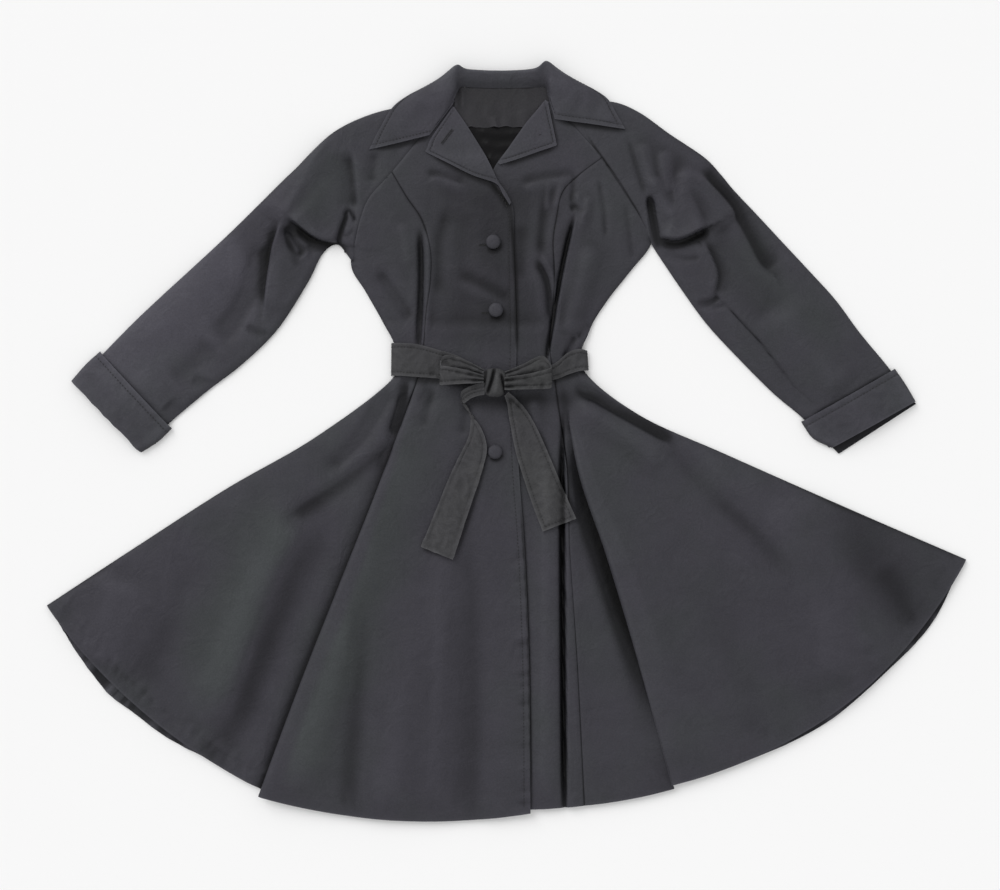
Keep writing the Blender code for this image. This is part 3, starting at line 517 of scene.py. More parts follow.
def upper_top(x, y, roll=EDGE_ROLL, layer="top"):
    """Top of the upper cloth layer, which all the upper panels share so that they meet at their seams."""
    edge = edge_gap(x, y)
    hem = np.abs(distance_to(HEM, x, y)[0])
    from_collar = np.hypot(x - COLLAR_MIDDLE[0], y - COLLAR_MIDDLE[1])
    spread = ease((from_collar - CROWN_STARTS) / (CROWN_FULL - CROWN_STARTS))
    from_hem = HEM_CROWN + (1 - HEM_CROWN) * ease(hem / HEM_EASE)
    crown = CROWN * (1 - np.exp(-edge / CROWN_REACH)) * spread * from_hem
    waist = waist_raise(y) * ease((FRONT_HALF_WAIST - np.abs(x)) / HALF_WAIST_FADE)
    folds = RELIEF * (folds_at(FOLDS, x, y) + folds_at(CREASES, x, y))
    folds *= FOLD_LEFT_AT_COLLAR + (1 - FOLD_LEFT_AT_COLLAR) * spread
    rise = FLAT_TOP - LOWEST_TOP + crown + folds
    rise = rise + fold_step(x, y) if layer == "top" else rise - fold_valley(x, y)
    # a soft lower limit, so that no trough falls below the cloth's lowest level
    kept = 0.5 * (rise + np.sqrt(rise * rise + 1))
    return EDGE_TOP + waist + (LOWEST_TOP - EDGE_TOP + kept) * dome(edge / roll) - seam_dip(x, y)


skirt_middle = np.array([0.0]), np.array([-300.0])
print("height at the middle of the skirt:", upper_top(*skirt_middle).round(2), "mm")

# %% [markdown]
# The right front laps over the left one and makes a tuck beside its princess seam below the waist. Belt,
# lapels and buttons are later laid on the height of both fronts together.

# %% How the fronts lie on one another
NO_ROLL, SEAM_SLACK, LEAST_VALLEY = 0.001, 0.5, 0.01
OVERLAP_RISE, OVERLAP_REACH, OVERLAP_SLOPE = 2.4, 87.0, 35.0
OVERLAP_RUNOFF, OVERLAP_SLACK = 14.0, 1.0
LAPEL_LEVEL, LAPEL_FADE = 445.0, 22.0
TUCK_RISE, TUCK_REACH, TUCK_TOP, TUCK_GROWTH, TUCK_ROLL, TUCK_PINCH = 9.0, 85.0, 98.0, 60.0, 9.0, 0.5
TUCK_VALLEY, VALLEY_WIDTH = 5.0, 14.0


def overlap_rise(x, y):
    """Rise of the right front where it lies on the left front, eased off past the closing edge."""
    gap = distance_to(CLOSING, x, y)[0]
    below_lapels = ease((LAPEL_LEVEL - y) / LAPEL_FADE)
    past_edge = 1 - ease((gap - OVERLAP_SLACK) / OVERLAP_RUNOFF)
    return OVERLAP_RISE * below_lapels * ease((OVERLAP_REACH + gap) / OVERLAP_SLOPE) * past_edge


def tuck_growth(y):
    """How far the tuck of the right centre front has opened at a height on the skirt."""
    return ease((TUCK_TOP - y) / TUCK_GROWTH)


def tuck_rise(gap, y):
    """Rise of the right centre front over its tuck, with the edge of the tuck rolled under."""
    gap = np.maximum(gap, 0)
    rolled = 1 - TUCK_PINCH * (1 - dome(gap / TUCK_ROLL))
    return TUCK_RISE * tuck_growth(y) * np.exp(-gap / TUCK_REACH) * rolled


def front_top(x, y, roll=EDGE_ROLL):
    """Top of the fronts as they lie, which the belt, lapels and buttons are laid on."""
    gap = distance_to(SEAMS["princess_right"], x, y)[0]
    return upper_top(x, y, roll) + overlap_rise(x, y) + tuck_rise(gap, y) * (gap > -SEAM_SLACK)


def beside_tuck_top(x, y):
    """Top of the right side front, which dips beside the tuck and runs under it."""
    gap = np.minimum(distance_to(SEAMS["princess_right"], x, y)[0], 0)
    valley = TUCK_VALLEY * tuck_growth(y) * np.exp(-((gap / VALLEY_WIDTH) ** 2))
    top = upper_top(x, y)
    return np.where(valley > LEAST_VALLEY, np.maximum(top - valley, np.minimum(top, LOWEST_TOP)), top)


def belt_ground(x, y):
    """The fronts under the belt, without the roll of their side edges, which the belt passes round."""
    return front_top(x, y, NO_ROLL)


print("height of the fronts there:", front_top(*skirt_middle).round(2), "mm")

# %% [markdown]
# ## Grids
# A panel is a grid of points between two seam lines, which is the plainest mesh for cloth: its rows and
# columns follow the threads. The columns lie closer together along an edge that rolls, dips into a seam
# or carries topstitching. A subdivided plane would spend the same number of faces everywhere.

# %% Grid functions
CloseColumn = namedtuple("CloseColumn", "distance largest_share")
CLOSE_COLUMNS = [
    CloseColumn(0, 0),
    CloseColumn(1.2, 0.03),
    CloseColumn(3, 0.07),
    CloseColumn(5, 0.11),
    CloseColumn(7, 0.15),
    CloseColumn(9, 0.19),
    CloseColumn(12, 0.24),
]


def across(width, columns, first_edge, second_edge):
    """Shares across each row: even columns, with close ones along an edge that needs them."""
    width = np.maximum(width, 1)
    close = np.array([np.minimum(row.distance / width, row.largest_share) for row in CLOSE_COLUMNS])
    low = close if first_edge else close[:1]
    high = (1 - close)[::-1] if second_edge else 1 - close[:1]
    even = np.linspace(0, 1, columns + 1)[1:-1, None]
    return np.vstack([low, low[-1] + (high[0] - low[-1]) * even, high]).T


def span(first, second, columns, sag=None, edges=(False, False)):
    """Plan points between two lines, row by row, each row sagging towards the hem by its own amount."""
    run = second - first
    width = np.hypot(run[:, 0], run[:, 1])
    share = across(width, columns, *edges)
    points = first[:, None] + run[:, None] * share[..., None]
    if sag is not None:
        down = np.stack([run[:, 1], -run[:, 0]], -1) / width[:, None]
        bow = 1 - (2 * share - 1) ** 2
        points = points + down[:, None] * (sag[:, None] * bow)[..., None]
    return points


def raised(plan, top):
    """A plan grid given its height by a function of x and y."""
    return np.concatenate([plan, top(plan[..., 0], plan[..., 1])[..., None]], -1)


def laid(plan, level):
    """A plan grid at one height."""
    return np.concatenate([plan, np.full(plan.shape[:2] + (1,), level)], -1)


def edge_distances(grid):
    """Distance on the cloth of each grid point from each of its four edges."""
    steps = np.linalg.norm(np.diff(grid, axis=1), axis=-1)
    first = np.concatenate([np.zeros((len(grid), 1)), np.cumsum(steps, 1)], 1)
    steps = np.linalg.norm(np.diff(grid, axis=0), axis=-1)
    start = np.concatenate([np.zeros((1, grid.shape[1])), np.cumsum(steps, 0)], 0)
    return {"first": first, "last": first[:, -1:] - first, "start": start, "end": start[-1:] - start}


def skirt_share(stations):
    """0 at the waist and 1 at the hem."""
    return np.clip((stations - FIRST_SKIRT_STATION) / (len(BODY) - 1 - FIRST_SKIRT_STATION), 0, 1)


def skirt_sag(hem_sag):
    """Sag of each row of a panel, from nothing at the waist to its full size at the hem."""
    return hem_sag * skirt_share(STATION_OF_ROW) ** SAG_GROWTH


print("rows on the skirt:", int((skirt_share(STATION_OF_ROW) > 0).sum()))

# %% [markdown]
# Topstitching pulls a shallow channel into the cloth. The channel is pressed into the grid itself, and
# the stitches are later laid along the same line. A bump map would vanish at a low angle.

# %% Channels and rows of stitches
CHANNEL_DEPTH, BELT_CHANNEL_DEPTH, CHANNEL_WIDTH = 1.0, 1.1, 1.4
Sewing = namedtuple("Sewing", "spacing length thickness turn")
StitchRow = namedtuple("StitchRow", "name line sewing")
STITCHES = []


def press(grid, edges, distance, depth=0.5, width=1.6):
    """Presses the shallow channel of a row of topstitching into a grid, beside the named edges."""
    gaps = edge_distances(grid)
    channel = np.max([np.exp(-(((gaps[edge] - distance) / width) ** 2)) for edge in edges], axis=0)
    grid[..., 2] -= depth * channel
    return grid


def line_beside(grid, edge, distance, trim=(0, 0), lift=0.25):
    """The line on a grid beside one edge at a distance, cut back at both ends and lifted a little."""
    turned = {
        "first": grid,
        "last": grid[:, ::-1],
        "start": grid.swapaxes(0, 1),
        "end": grid.swapaxes(0, 1)[:, ::-1],
    }[edge]
    steps = np.linalg.norm(np.diff(turned, axis=1), axis=-1)
    along = np.concatenate([np.zeros((len(turned), 1)), np.cumsum(steps, 1)], 1)
    line = np.array([[np.interp(distance, a, p[:, k]) for k in range(3)] for a, p in zip(along, turned)])
    line[:, 2] += lift
    place = np.concatenate([[0], np.cumsum(np.linalg.norm(np.diff(line, axis=0), axis=-1))])
    return line[(place >= trim[0]) & (place <= place[-1] - trim[1])]


print("channel for stitches:", CHANNEL_WIDTH, "mm wide")

# %% [markdown]
# ## Cloth finishes
# Shader sums are written as sums: `Value` wraps a socket, and each operator adds a Math node. Nodes could
# be placed one by one, but a line such as `1 - hollow * dark` is easier to read than its three nodes.

# %% Sums of shader values


class Value:
    """A shader socket that can stand in a sum."""

    def __init__(self, tree, socket):
        self.tree, self.socket = tree, socket

    def node(self, kind, settings=None, output=0, **sockets):
        """Adds any other node with its settings and the values of its sockets, and returns an output."""
        made = self.tree.nodes.new(kind)
        for name, value in (settings or {}).items():
            setattr(made, name, value)
        for name, value in sockets.items():
            by_number = name[0] == "i" and name[1:].isdigit()
            socket = made.inputs[int(name[1:]) if by_number else name]
            if isinstance(value, Value):
                self.tree.links.new(value.socket, socket)
            else:
                socket.default_value = value
        return Value(self.tree, made.outputs[output])

    def math(self, operation, *others):
        values = {"i" + str(k): value for k, value in enumerate((self, *others))}
        return self.node("ShaderNodeMath", {"operation": operation}, **values)

    def __add__(self, other):
        return self.math("ADD", other)

    def __sub__(self, other):
        return self.math("SUBTRACT", other)

    def __mul__(self, other):
        return self.math("MULTIPLY", other)

    def __truediv__(self, other):
        return self.math("DIVIDE", other)

    def __rsub__(self, other):
        return self * -1 + other

    __radd__ = __add__
    __rmul__ = __mul__

    def between(self, low, high):
        """0 at low, 1 at high, soft between."""
        return self.node(
            "ShaderNodeMapRange",
            {"interpolation_type": "SMOOTHSTEP"},
            Value=self, **{"From Min": low, "From Max": high},
        )

    def mix(self, first, second):
        """A colour from first to second by this factor."""
        return self.node("ShaderNodeMix", {"data_type": "RGBA"}, output=2, i0=self, i6=first, i7=second)


print("operators:", [name for name in ("add", "sub", "mul", "truediv") if hasattr(Value, f"__{name}__")])

# %% [markdown]
# The coat is a charcoal cotton twill: diagonal ribs, pale worn edges and a grey that drifts at random
# between purple and green. Its sheen is painted: the grey leans to purple or green where a table says.
# Light and shade are painted too: shade in its hollows, light on its ridges. A photograph of cloth could be
# wrapped round it, but it would repeat and bring its own light along. Here noise and ribs make the cloth
# at any size, and attributes of the mesh carry the painted sheen and the painted shade. What varies goes
# only to colour, roughness and normal, which an export can bake.

# %% Twill and satin
Finish = namedtuple("Finish", "name purple green roughness shine weave_height wrinkle_height lint")
WEAVE_PITCH, WEAVE_SLANT, NOISE_MEAN = 0.0013, 0.8, 0.5
MOTTLE = {"Scale": 9.0, "Detail": 3.0, "Roughness": 0.55}
CLOUDS = {"Scale": 28.0, "Detail": 4.0, "Roughness": 0.6}
SPECKS = {"Scale": 420.0, "Detail": 2.0, "Roughness": 0.6}
WRINKLES = {"Scale": 22.0, "Detail": 5.0, "Roughness": 0.55, "Distortion": 0.6}
SHEEN_LEAN, MOTTLE_LEAN, LEAN_START = 0.45, 1.2, 0.32
RIB_SHADE, SPECK_SHADE, CLOUD_SHADE, ROUGH_CHANGE = 0.06, 0.55, 0.3, 0.12
PAINTED_HOLLOW_SHADE, PAINTED_DEEP_SHADE, DEEPEST, PAINTED_RIDGE_LIGHT = 0.72, 0.22, 1.8, 0.5
RIB_RELIEF, SPECK_RELIEF, WRINKLE_STRENGTH, WEAVE_STRENGTH = 0.5, 0.6, 0.7, 0.6


def attribute(start, name):
    """A number that the mesh carries at each point."""
    return start.node("ShaderNodeAttribute", {"attribute_name": name}, output=2)


def cloth_colour(start, finish, ribs, mottle, specks, place):
    """Two greys that drift into each other and lean by the painted sheen, with ribs, specks, pale worn edges,
    painted shade in hollows and painted light on ridges.
    """
    clouds = start.node("ShaderNodeTexNoise", Vector=place, **CLOUDS)
    hollow = attribute(start, "hollow")
    # the painted sheen leans the grey, and the mottle drifts it at random
    sheen_and_mottle = attribute(start, "lie") * SHEEN_LEAN + (mottle - NOISE_MEAN) * MOTTLE_LEAN + LEAN_START
    colour = sheen_and_mottle.between(0.0, 1.0).mix(finish.purple, finish.green)
    grain = 1 + ribs * RIB_SHADE + (specks - NOISE_MEAN) * SPECK_SHADE + (clouds - NOISE_MEAN) * CLOUD_SHADE
    grain = grain + attribute(start, "wear") * finish.lint
    # painted shade darkens hollows, more deeply past 1, and painted light pales ridges
    depth = 1 - hollow.between(0.0, 1.0) * PAINTED_HOLLOW_SHADE - hollow.between(1.0, DEEPEST) * PAINTED_DEEP_SHADE
    depth = depth + (hollow * -1).between(0.0, 1.0) * PAINTED_RIDGE_LIGHT
    return start.node("ShaderNodeVectorMath", {"operation": "SCALE"}, i0=colour, Scale=grain * depth)


def cloth_relief(start, finish, ribs, specks, place):
    """The normal of the cloth: soft wrinkles, with the weave on them."""
    creased = start.node("ShaderNodeTexNoise", Vector=place, **WRINKLES)
    wrinkles = (creased - NOISE_MEAN).math("ABSOLUTE") * -1
    soft_bump = start.node(
        "ShaderNodeBump", Height=wrinkles, Distance=finish.wrinkle_height, Strength=WRINKLE_STRENGTH)
    weave = ribs * RIB_RELIEF + (specks - NOISE_MEAN) * SPECK_RELIEF
    return start.node(
        "ShaderNodeBump", Height=weave, Distance=finish.weave_height, Strength=WEAVE_STRENGTH,
        Normal=soft_bump)


def cloth_material(finish):
    """A woven cloth with diagonal ribs."""
    made = bpy.data.materials.new(finish.name)
    made.use_nodes = True
    tree = made.node_tree
    shader = tree.nodes["Principled BSDF"]
    start = Value(tree, None)
    place = start.node("ShaderNodeTexCoord", output=3)
    thread = start.node("ShaderNodeUVMap", {"uv_map": "cloth"})
    across_threads = start.node("ShaderNodeSeparateXYZ", Vector=thread)
    along_threads = Value(tree, across_threads.socket.node.outputs[1])
    ribs = ((across_threads * WEAVE_SLANT + along_threads) * (2 * np.pi / WEAVE_PITCH)).math("SINE")
    mottle = start.node("ShaderNodeTexNoise", Vector=place, **MOTTLE)
    specks = start.node("ShaderNodeTexNoise", Vector=place, **SPECKS)
    looks = {
        "Base Color": cloth_colour(start, finish, ribs, mottle, specks, place),
        "Roughness": finish.roughness + (mottle - NOISE_MEAN) * ROUGH_CHANGE,
        "Normal": cloth_relief(start, finish, ribs, specks, place),
    }
    for name, value in looks.items():
        tree.links.new(value.socket, shader.inputs[name])
    shader.inputs["Specular IOR Level"].default_value = finish.shine
    return made


TWILL = cloth_material(Finish(
    "coat_twill_cloth", purple=(0.0392, 0.0377, 0.0464, 1), green=(0.0374, 0.0408, 0.0426, 1),
    roughness=0.58, shine=0.14, weave_height=0.00005, wrinkle_height=0.006, lint=0.3))
BELT_TWILL = cloth_material(Finish(
    "belt_twill_cloth", purple=(0.0420, 0.0415, 0.0450, 1), green=(0.0420, 0.0430, 0.0425, 1),
    roughness=0.68, shine=0.14, weave_height=0.00005, wrinkle_height=0.009, lint=0.5))
FACING_TWILL = cloth_material(Finish(
    "facing_cloth", purple=(0.027, 0.026, 0.030, 1), green=(0.029, 0.029, 0.0295, 1),
    roughness=0.7, shine=0.2, weave_height=0.00004, wrinkle_height=0.006, lint=0.2))
SATIN = cloth_material(Finish(
    "lining_cloth", purple=(0.004, 0.0038, 0.0044, 1), green=(0.006, 0.0056, 0.006, 1),
    roughness=0.42, shine=0.11, weave_height=0.00001, wrinkle_height=0.003, lint=0.1))
print("cloths:", [material.name for material in (TWILL, BELT_TWILL, FACING_TWILL, SATIN)])

# %% Thread
THREAD_DARK, THREAD_LIGHT = (0.004, 0.004, 0.005, 1), (0.012, 0.012, 0.013, 1)
TWIST = {"Scale": 900.0, "Detail": 2.0, "Roughness": 0.5}
TWIST_FROM, TWIST_TO, THREAD_ROUGHNESS, THREAD_ROUGH_CHANGE = 0.3, 0.7, 0.5, 0.2


def thread_material(name):
    """Sewing thread, much darker than the cloth, so that each stitch also paints the shade of the pucker it
    pulls; twisted, so its shade changes along each stitch.
    """
    made = bpy.data.materials.new(name)
    made.use_nodes = True
    tree = made.node_tree
    shader = tree.nodes["Principled BSDF"]
    start = Value(tree, None)
    place = start.node("ShaderNodeTexCoord", output=3)
    twist = start.node("ShaderNodeTexNoise", Vector=place, **TWIST)
    colour = twist.between(TWIST_FROM, TWIST_TO).mix(THREAD_DARK, THREAD_LIGHT)
    rough = THREAD_ROUGHNESS + twist * THREAD_ROUGH_CHANGE
    tree.links.new(colour.socket, shader.inputs["Base Color"])
    tree.links.new(rough.socket, shader.inputs["Roughness"])
    return made


THREAD = thread_material("thread_charcoal")
print("thread:", THREAD.name)

# %% [markdown]
# ## Light and shade
# Soft light leaves broad shade on the bodice and thin dark lines under edges that lie close to the cloth.
# A path tracer finds most of it, but thin cloth with little room below hides the rest. So broad light,
# narrow shade and the sheen that leans the grey are painted along lines, in the same kind of table as the folds.

# %% Tables of shade
# Painted broad light and shade: above 0 where the coat lies in shade, below 0 where it catches the light.
SHADES = [
    Fold((-20, 425), (-20, 280), (-20, 130), 130, 130, 0.58),
    Fold((-75, 66), (-15, 58), (70, 70), 18, 14, 0.5),
    Fold((430, -90), (560, -170), (690, -200), 85, 60, 0.5),
    Fold((-385, 315), (-500, 200), (-615, 95), 72, 72, -1.3),
    Fold((290, 340), (345, 265), (395, 190), 42, 42, 0.4),
    Fold((190, 480), (280, 410), (335, 355), 45, 45, 0.3),
    Fold((-262, -66), (-328, -240), (-458, -515), 36, 48, 0.2),
    Fold((-290, -80), (-375, -215), (-430, -400), 45, 20, -0.3),
    Fold((-128, 70), (-212, -200), (-335, -525), 10, 42, -0.3),
    Fold((-60, 495), (-12, 460), (30, 495), 20, 20, 0.2),
    # deepest hollows of the sleeves
    Fold((-331, 322), (-326, 295), (-312, 262), 9, 7, 0.7),
    Fold((-320, 328), (-284, 303), (-250, 294), 14, 2, 1.1),
    Fold((-256, 292), (-247, 320), (-238, 344), 3, 4, 0.45),
    Fold((-342, 330), (-357, 280), (-366, 210), 13, 2, 0.5),
    Fold((-352, 300), (-376, 238), (-410, 180), 18, 10, 0.35),
    Fold((213, 372), (220, 334), (227, 290), 5, 5, 0.8),
    Fold((226, 303), (258, 297), (300, 316), 9, 2, 0.8),
    Fold((297, 380), (345, 345), (395, 258), 6, 26, 0.4),
    # deepest hollows of the body
    Fold((104, 345), (83.5, 255), (60.5, 122), 4, 3, 0.7),
    Fold((84, 60), (85, -230), (88, -556), 5, 4, 0.7),
    Fold((88, 92), (86, 60), (92, 10), 9, 9, 0.5),
    Fold((94, 90), (162, 50), (252, 4), 14, 12, 0.5),
    Fold((-345, -128), (-250, -66), (-165, -4), 24, 14, 0.3),
    Fold((-148, 96), (-157, 58), (-170, 10), 9, 6, 0.8),
    Fold((-122, 94), (-128, 70), (-136, 30), 8, 6, 0.4),
]
# Painted narrow shade on the cloth under an edge: of collar, lapels, belt, tails, cuffs, buttons and closing.
CONTACT_SHADOWS = [
    Fold((-123, 436), (-70, 408), (-13, 385), 6, 3, 1.0),
    Fold((-11, 414), (30, 427), (76, 443), 6, 3, 0.9),
    Fold((63, 506), (71, 472), (77, 443), 2, 4, 0.6),
    Fold((-208, 438), (-160, 446), (-112, 459), 6, 3, 1.0),
    Fold((70, 483), (125, 475), (181, 468), 6, 3, 1.0),
    Fold((-174, 97), (-104, 92), (-38, 82), 7, 3, 0.9),
    Fold((60, 90), (92, 99), (122, 106), 7, 3, 0.9),
    Fold((29, 48), (62, -14), (106, -117), 3, 4.5, 0.6),
    Fold((54, -136), (80, -126), (105, -117), 4, 2, 0.6),
    Fold((-30, 10), (-38, -55), (-79, -178), 3, 4.5, 0.6),
    Fold((-130, -158), (-104, -168), (-79, -178), 4, 2, 0.6),
    Fold((-613, 138), (-557, 78), (-501, 18), 2, 4.5, 0.8),
    Fold((441, 28), (513, 69), (586, 111), 2, 4.5, 0.8),
    Fold((5, 362), (13, 250), (15, 140), 2, 3.2, 0.9),
    Fold((112, 474), (158, 404), (204, 334), 1.8, 2.6, 0.8),
    Fold((18, -40), (31, -270), (37, -562), 2, 3.2, 0.9),
    Fold((-30, 291), (-18, 287), (-8, 296), 4, 4, 1.0),
    Fold((-26, 189), (-14, 185), (-4, 194), 4, 4, 1.0),
    Fold((-27, -23), (-15, -27), (-5, -18), 4, 4, 1.0),
    Fold((-24, 390), (-8, 371), (6, 351), 5, 2, 1.3),
]
print("shades:", len(SHADES), "contacts:", len(CONTACT_SHADOWS))

# %% Table of painted sheen
# Painted sheen: where the cloth's grey leans to green (above 0) or to purple (below 0).
PAINTED_SHEEN_LINES = [
    Fold((-290, -80), (-375, -215), (-440, -420), 60, 30, 1.4),
    Fold((-128, 70), (-212, -200), (-335, -525), 10, 56, 1.4),
    Fold((-245, 440), (-280, 370), (-300, 330), 25, 45, 0.8),
    Fold((-320, 420), (-420, 290), (-560, 150), 45, 45, -1.0),
    Fold((-50, -60), (-85, -300), (-110, -560), 80, 80, -0.9),
    Fold((-470, -110), (-560, -230), (-610, -340), 70, 70, -0.8),
    Fold((-276, -70), (-335, -235), (-430, -455), 25, 35, -1.0),
    Fold((250, -60), (400, -220), (540, -300), 90, 90, -0.5),
    Fold((330, 330), (420, 220), (520, 110), 50, 50, 0.6),
]
print("tones:", len(PAINTED_SHEEN_LINES))

# %% [markdown]
# Each point of the cloth carries three numbers that its colour reads. `lie` leans the grey,
# `wear` is 1 on a worn edge, and `hollow` is painted shade that grows with how far the point lies
# below the cloth round it, with painted light below 0 on a ridge. They are measured on the grid, because an
# ambient occlusion node would have to be baked and would miss the small folds.

# %% Hollows and joined edges
HOLLOW_REACH, HOLLOW_DEPTH, RIDGE_LIGHT, MEAN_PASSES = 13.0, 4.0, -0.35, 2
SEAM_REACH = 1.6


def averaged(values, radius, axis):
    """Each value's mean with its neighbours along one axis of a grid."""
    count = values.shape[axis]
    padded = np.pad(values, [(radius + 1, radius) if k == axis else (0, 0) for k in (0, 1)], mode="edge")
    sums = np.cumsum(padded, axis)
    above, below = np.arange(count) + 2 * radius + 1, np.arange(count)
    return (np.take(sums, above, axis) - np.take(sums, below, axis)) / (2 * radius + 1)


def hollows(grid):
    """Painted shade by how far each point lies below the cloth round it: 1 in a deep hollow, below 0 (painted
    light) on a ridge.
    """
    mean = grid[..., 2]
    for axis in (0, 1):
        step = np.median(np.linalg.norm(np.diff(grid, axis=axis), axis=-1))
        for _ in range(MEAN_PASSES):
            mean = averaged(mean, max(1, round(HOLLOW_REACH / step)), axis)
    return np.clip((mean - grid[..., 2]) / HOLLOW_DEPTH, RIDGE_LIGHT, 1)


def contacts(grid):
    """Painted shade on the cloth beside the edges of pieces that lie on it."""
    return folds_at(CONTACT_SHADOWS, grid[..., 0], grid[..., 1])


def joined_edge(grid, edge, rows=slice(None)):
    """1 along an edge that is sewn to the next piece, fading a little way in."""
    kept = np.zeros((len(grid), 1))
    kept[rows] = 1
    return kept * np.exp(-edge_distances(grid)[edge] / SEAM_REACH)


def lie_of(plan):
    """The painted sheen: which of its two greys the cloth leans to at each point."""
    return folds_at(PAINTED_SHEEN_LINES, plan[..., 0], plan[..., 1])


print("cloth is averaged over:", HOLLOW_REACH, "mm")

# %% [markdown]
# ## Shells
# Real cloth has a thickness, and so has its solid. A Solidify modifier could give it one, but the wall
# has to stay plumb along a seam, so that two panels meet there. So a shell is built as a closed wall: the
# grid, its copy moved in by the thickness, and a rim. Each shell takes the place of one solid and states
# the size of its flat cut.

# %% Pieces and their attributes
SHARP = np.radians(50)


def dress(mesh, uv, hollow, lie=0, wear=0):
    """Gives a mesh its thread directions, painted sheen, wear and painted shade, which its finish reads."""
    corners = np.zeros(len(mesh.loops), np.int32)
    mesh.loops.foreach_get("vertex_index", corners)
    mesh.uv_layers.new(name="cloth").data.foreach_set("uv", uv[corners].ravel().astype(np.float32))
    for name, values in (("lie", lie), ("wear", wear), ("hollow", hollow)):
        values = np.broadcast_to(values, len(uv)).astype(np.float32)
        mesh.attributes.new(name, "FLOAT", "POINT").data.foreach_set("value", values)


def finish_piece(node, mesh, material):
    """Links a mesh as the finished piece that takes a solid's place."""
    mesh.materials.append(material)
    mesh.shade_smooth()
    mesh.set_sharp_from_angle(angle=SHARP)
    made = bpy.data.objects.new(node + "_cloth", mesh)
    bpy.context.scene.collection.objects.link(made)
    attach(made, "root")
    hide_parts(node)
    return made


print("edges sharper than", round(np.degrees(SHARP)), "degrees stay sharp")

# %% Cloth shells
CLOTH, WEAR_REACH, SEAM_SHADE, FIRST_ROWS = 1.6, 1.5, 0.75, 3
DARKEST, PALEST, NO_LENGTH = 2, -1, 1e-9
SHEETS = []


def facing_of(grid):
    """Normals of a grid of points by its rows and columns, and whether they point up on its first rows."""
    normal = np.cross(np.gradient(grid, axis=0), np.gradient(grid, axis=1))
    return normal, normal[:FIRST_ROWS, :, 2].sum() > 0


def wall_under(grid, thickness, seams):
    """Points and faces of a closed wall under a grid, plumb along its seams."""
    rows, columns = grid.shape[:2]
    normal, up = facing_of(grid)
    normal /= np.maximum(np.linalg.norm(normal, axis=-1, keepdims=True), NO_LENGTH)
    normal = normal if up else -normal
    for is_seam, edge in zip(seams, (0, -1)):
        if is_seam:
            normal[:, edge] = (0, 0, 1)
    inside = grid - thickness * normal
    count = rows * columns
    index = np.arange(count).reshape(rows, columns)
    quads = np.stack([index[:-1, :-1], index[1:, :-1], index[1:, 1:], index[:-1, 1:]], -1).reshape(-1, 4)
    rim = np.concatenate([index[:, 0], index[-1, 1:], index[-2::-1, -1], index[0, -2:0:-1]])
    after = np.roll(rim, -1)
    sides = np.stack([rim, rim + count, after + count, after], -1)
    faces = np.concatenate([quads, quads[:, ::-1] + count, sides])
    points = np.concatenate([grid.reshape(-1, 3), inside.reshape(-1, 3)]) * MM
    return points, faces if up else faces[:, ::-1]


def both_sides(values):
    """One number for each point of a shell, the same outside and inside."""
    return np.ravel([values, values])


def shell(node, grid, thickness, material, seams=(False, False), lie=0, rests_on=("floor",), shade=0,
          joined=0):
    """A closed cloth shell under a grid, in place of a solid, with its threads and its flat size."""
    points, faces = wall_under(grid, thickness, seams)
    mesh = bpy.data.meshes.new(node + "_cloth")
    mesh.from_pydata(points.tolist(), [], faces.tolist())
    gaps = edge_distances(grid)
    down = gaps["start"][:, grid.shape[1] // 2, None] + 0 * gaps["first"]
    uv = np.stack([gaps["first"], down], -1).reshape(-1, 2) * MM
    wear = np.exp(-np.min(list(gaps.values()), axis=0) / WEAR_REACH) * (1 - joined)
    # painted shade: along sewn seams, as given, from the table of broad light and shade and in the grid's
    # hollows; below 0 it is painted light
    shade = shade + SEAM_SHADE * joined + folds_at(SHADES, grid[..., 0], grid[..., 1])
    hollow = np.clip(hollows(grid) + shade, PALEST, DARKEST)
    lie = lie + np.zeros(grid.shape[:2])
    dress(mesh, np.concatenate([uv, uv]), both_sides(hollow), both_sides(lie), both_sides(wear))
    made = finish_piece(node, mesh, material)
    run = np.linalg.norm(np.cross(np.diff(grid, axis=0)[:, :-1], np.diff(grid, axis=1)[:-1]), axis=-1)
    area = run.sum() * MM * MM
    width, length = gaps["first"][:, -1].max() * MM, gaps["start"][-1].max() * MM
    min(area, width * length)
    SHEETS.append((made.name, width, length, area))
    return made


print("coat cloth:", CLOTH, "mm thick")

# %% [markdown]
# ## Back
# The back lies on the floor under everything else, so it is one plain sheet. Only its hem shows, below
# the two side fronts. It ripples there, because a hem that is cut on a curve never lies quite flat. A
# noise along the hem makes the ripples uneven, as a sine wave would not.

# %% Back
BACK_HEM = [
    (-686, -248), (-669, -279), (-645, -318), (-602, -375), (-560, -408), (-510, -445), (-450, -476),
    (-372, -512), (-260, -544), (-139, -556), (0, -548), (117, -533), (249, -517), (369, -477),
    (482, -422), (584, -334), (643, -268), (686, -180),
]
BackEdge = namedtuple("BackEdge", "right left")
BACK_SHOULDERS = [
    BackEdge((-62, 526), (56, 527)),
    BackEdge((-128, 456), (106, 465)),
    BackEdge((-182, 391), (152, 414)),
    BackEdge((-219, 333), (190, 352)),
]
BACK_INSET, WAIST_INSET, WAIST_MIDDLE, WAIST_SPREAD, BACK_HALF_WAIST = 4.0, 12.0, 115.0, 45.0, 230.0
BACK_COLUMNS, BACK_SHADE, BACK_COARSER = 180, 0.6, 3
BACK_LEAST_STEPS, BACK_LAST_STEPS, BACK_HEM_STEPS = 3, 40, 8
RIPPLE_HEIGHT, RIPPLE_SIZE, RIPPLE_REACH, RIPPLE_LIGHT = 5.0, 20.0, 40.0, 2.6
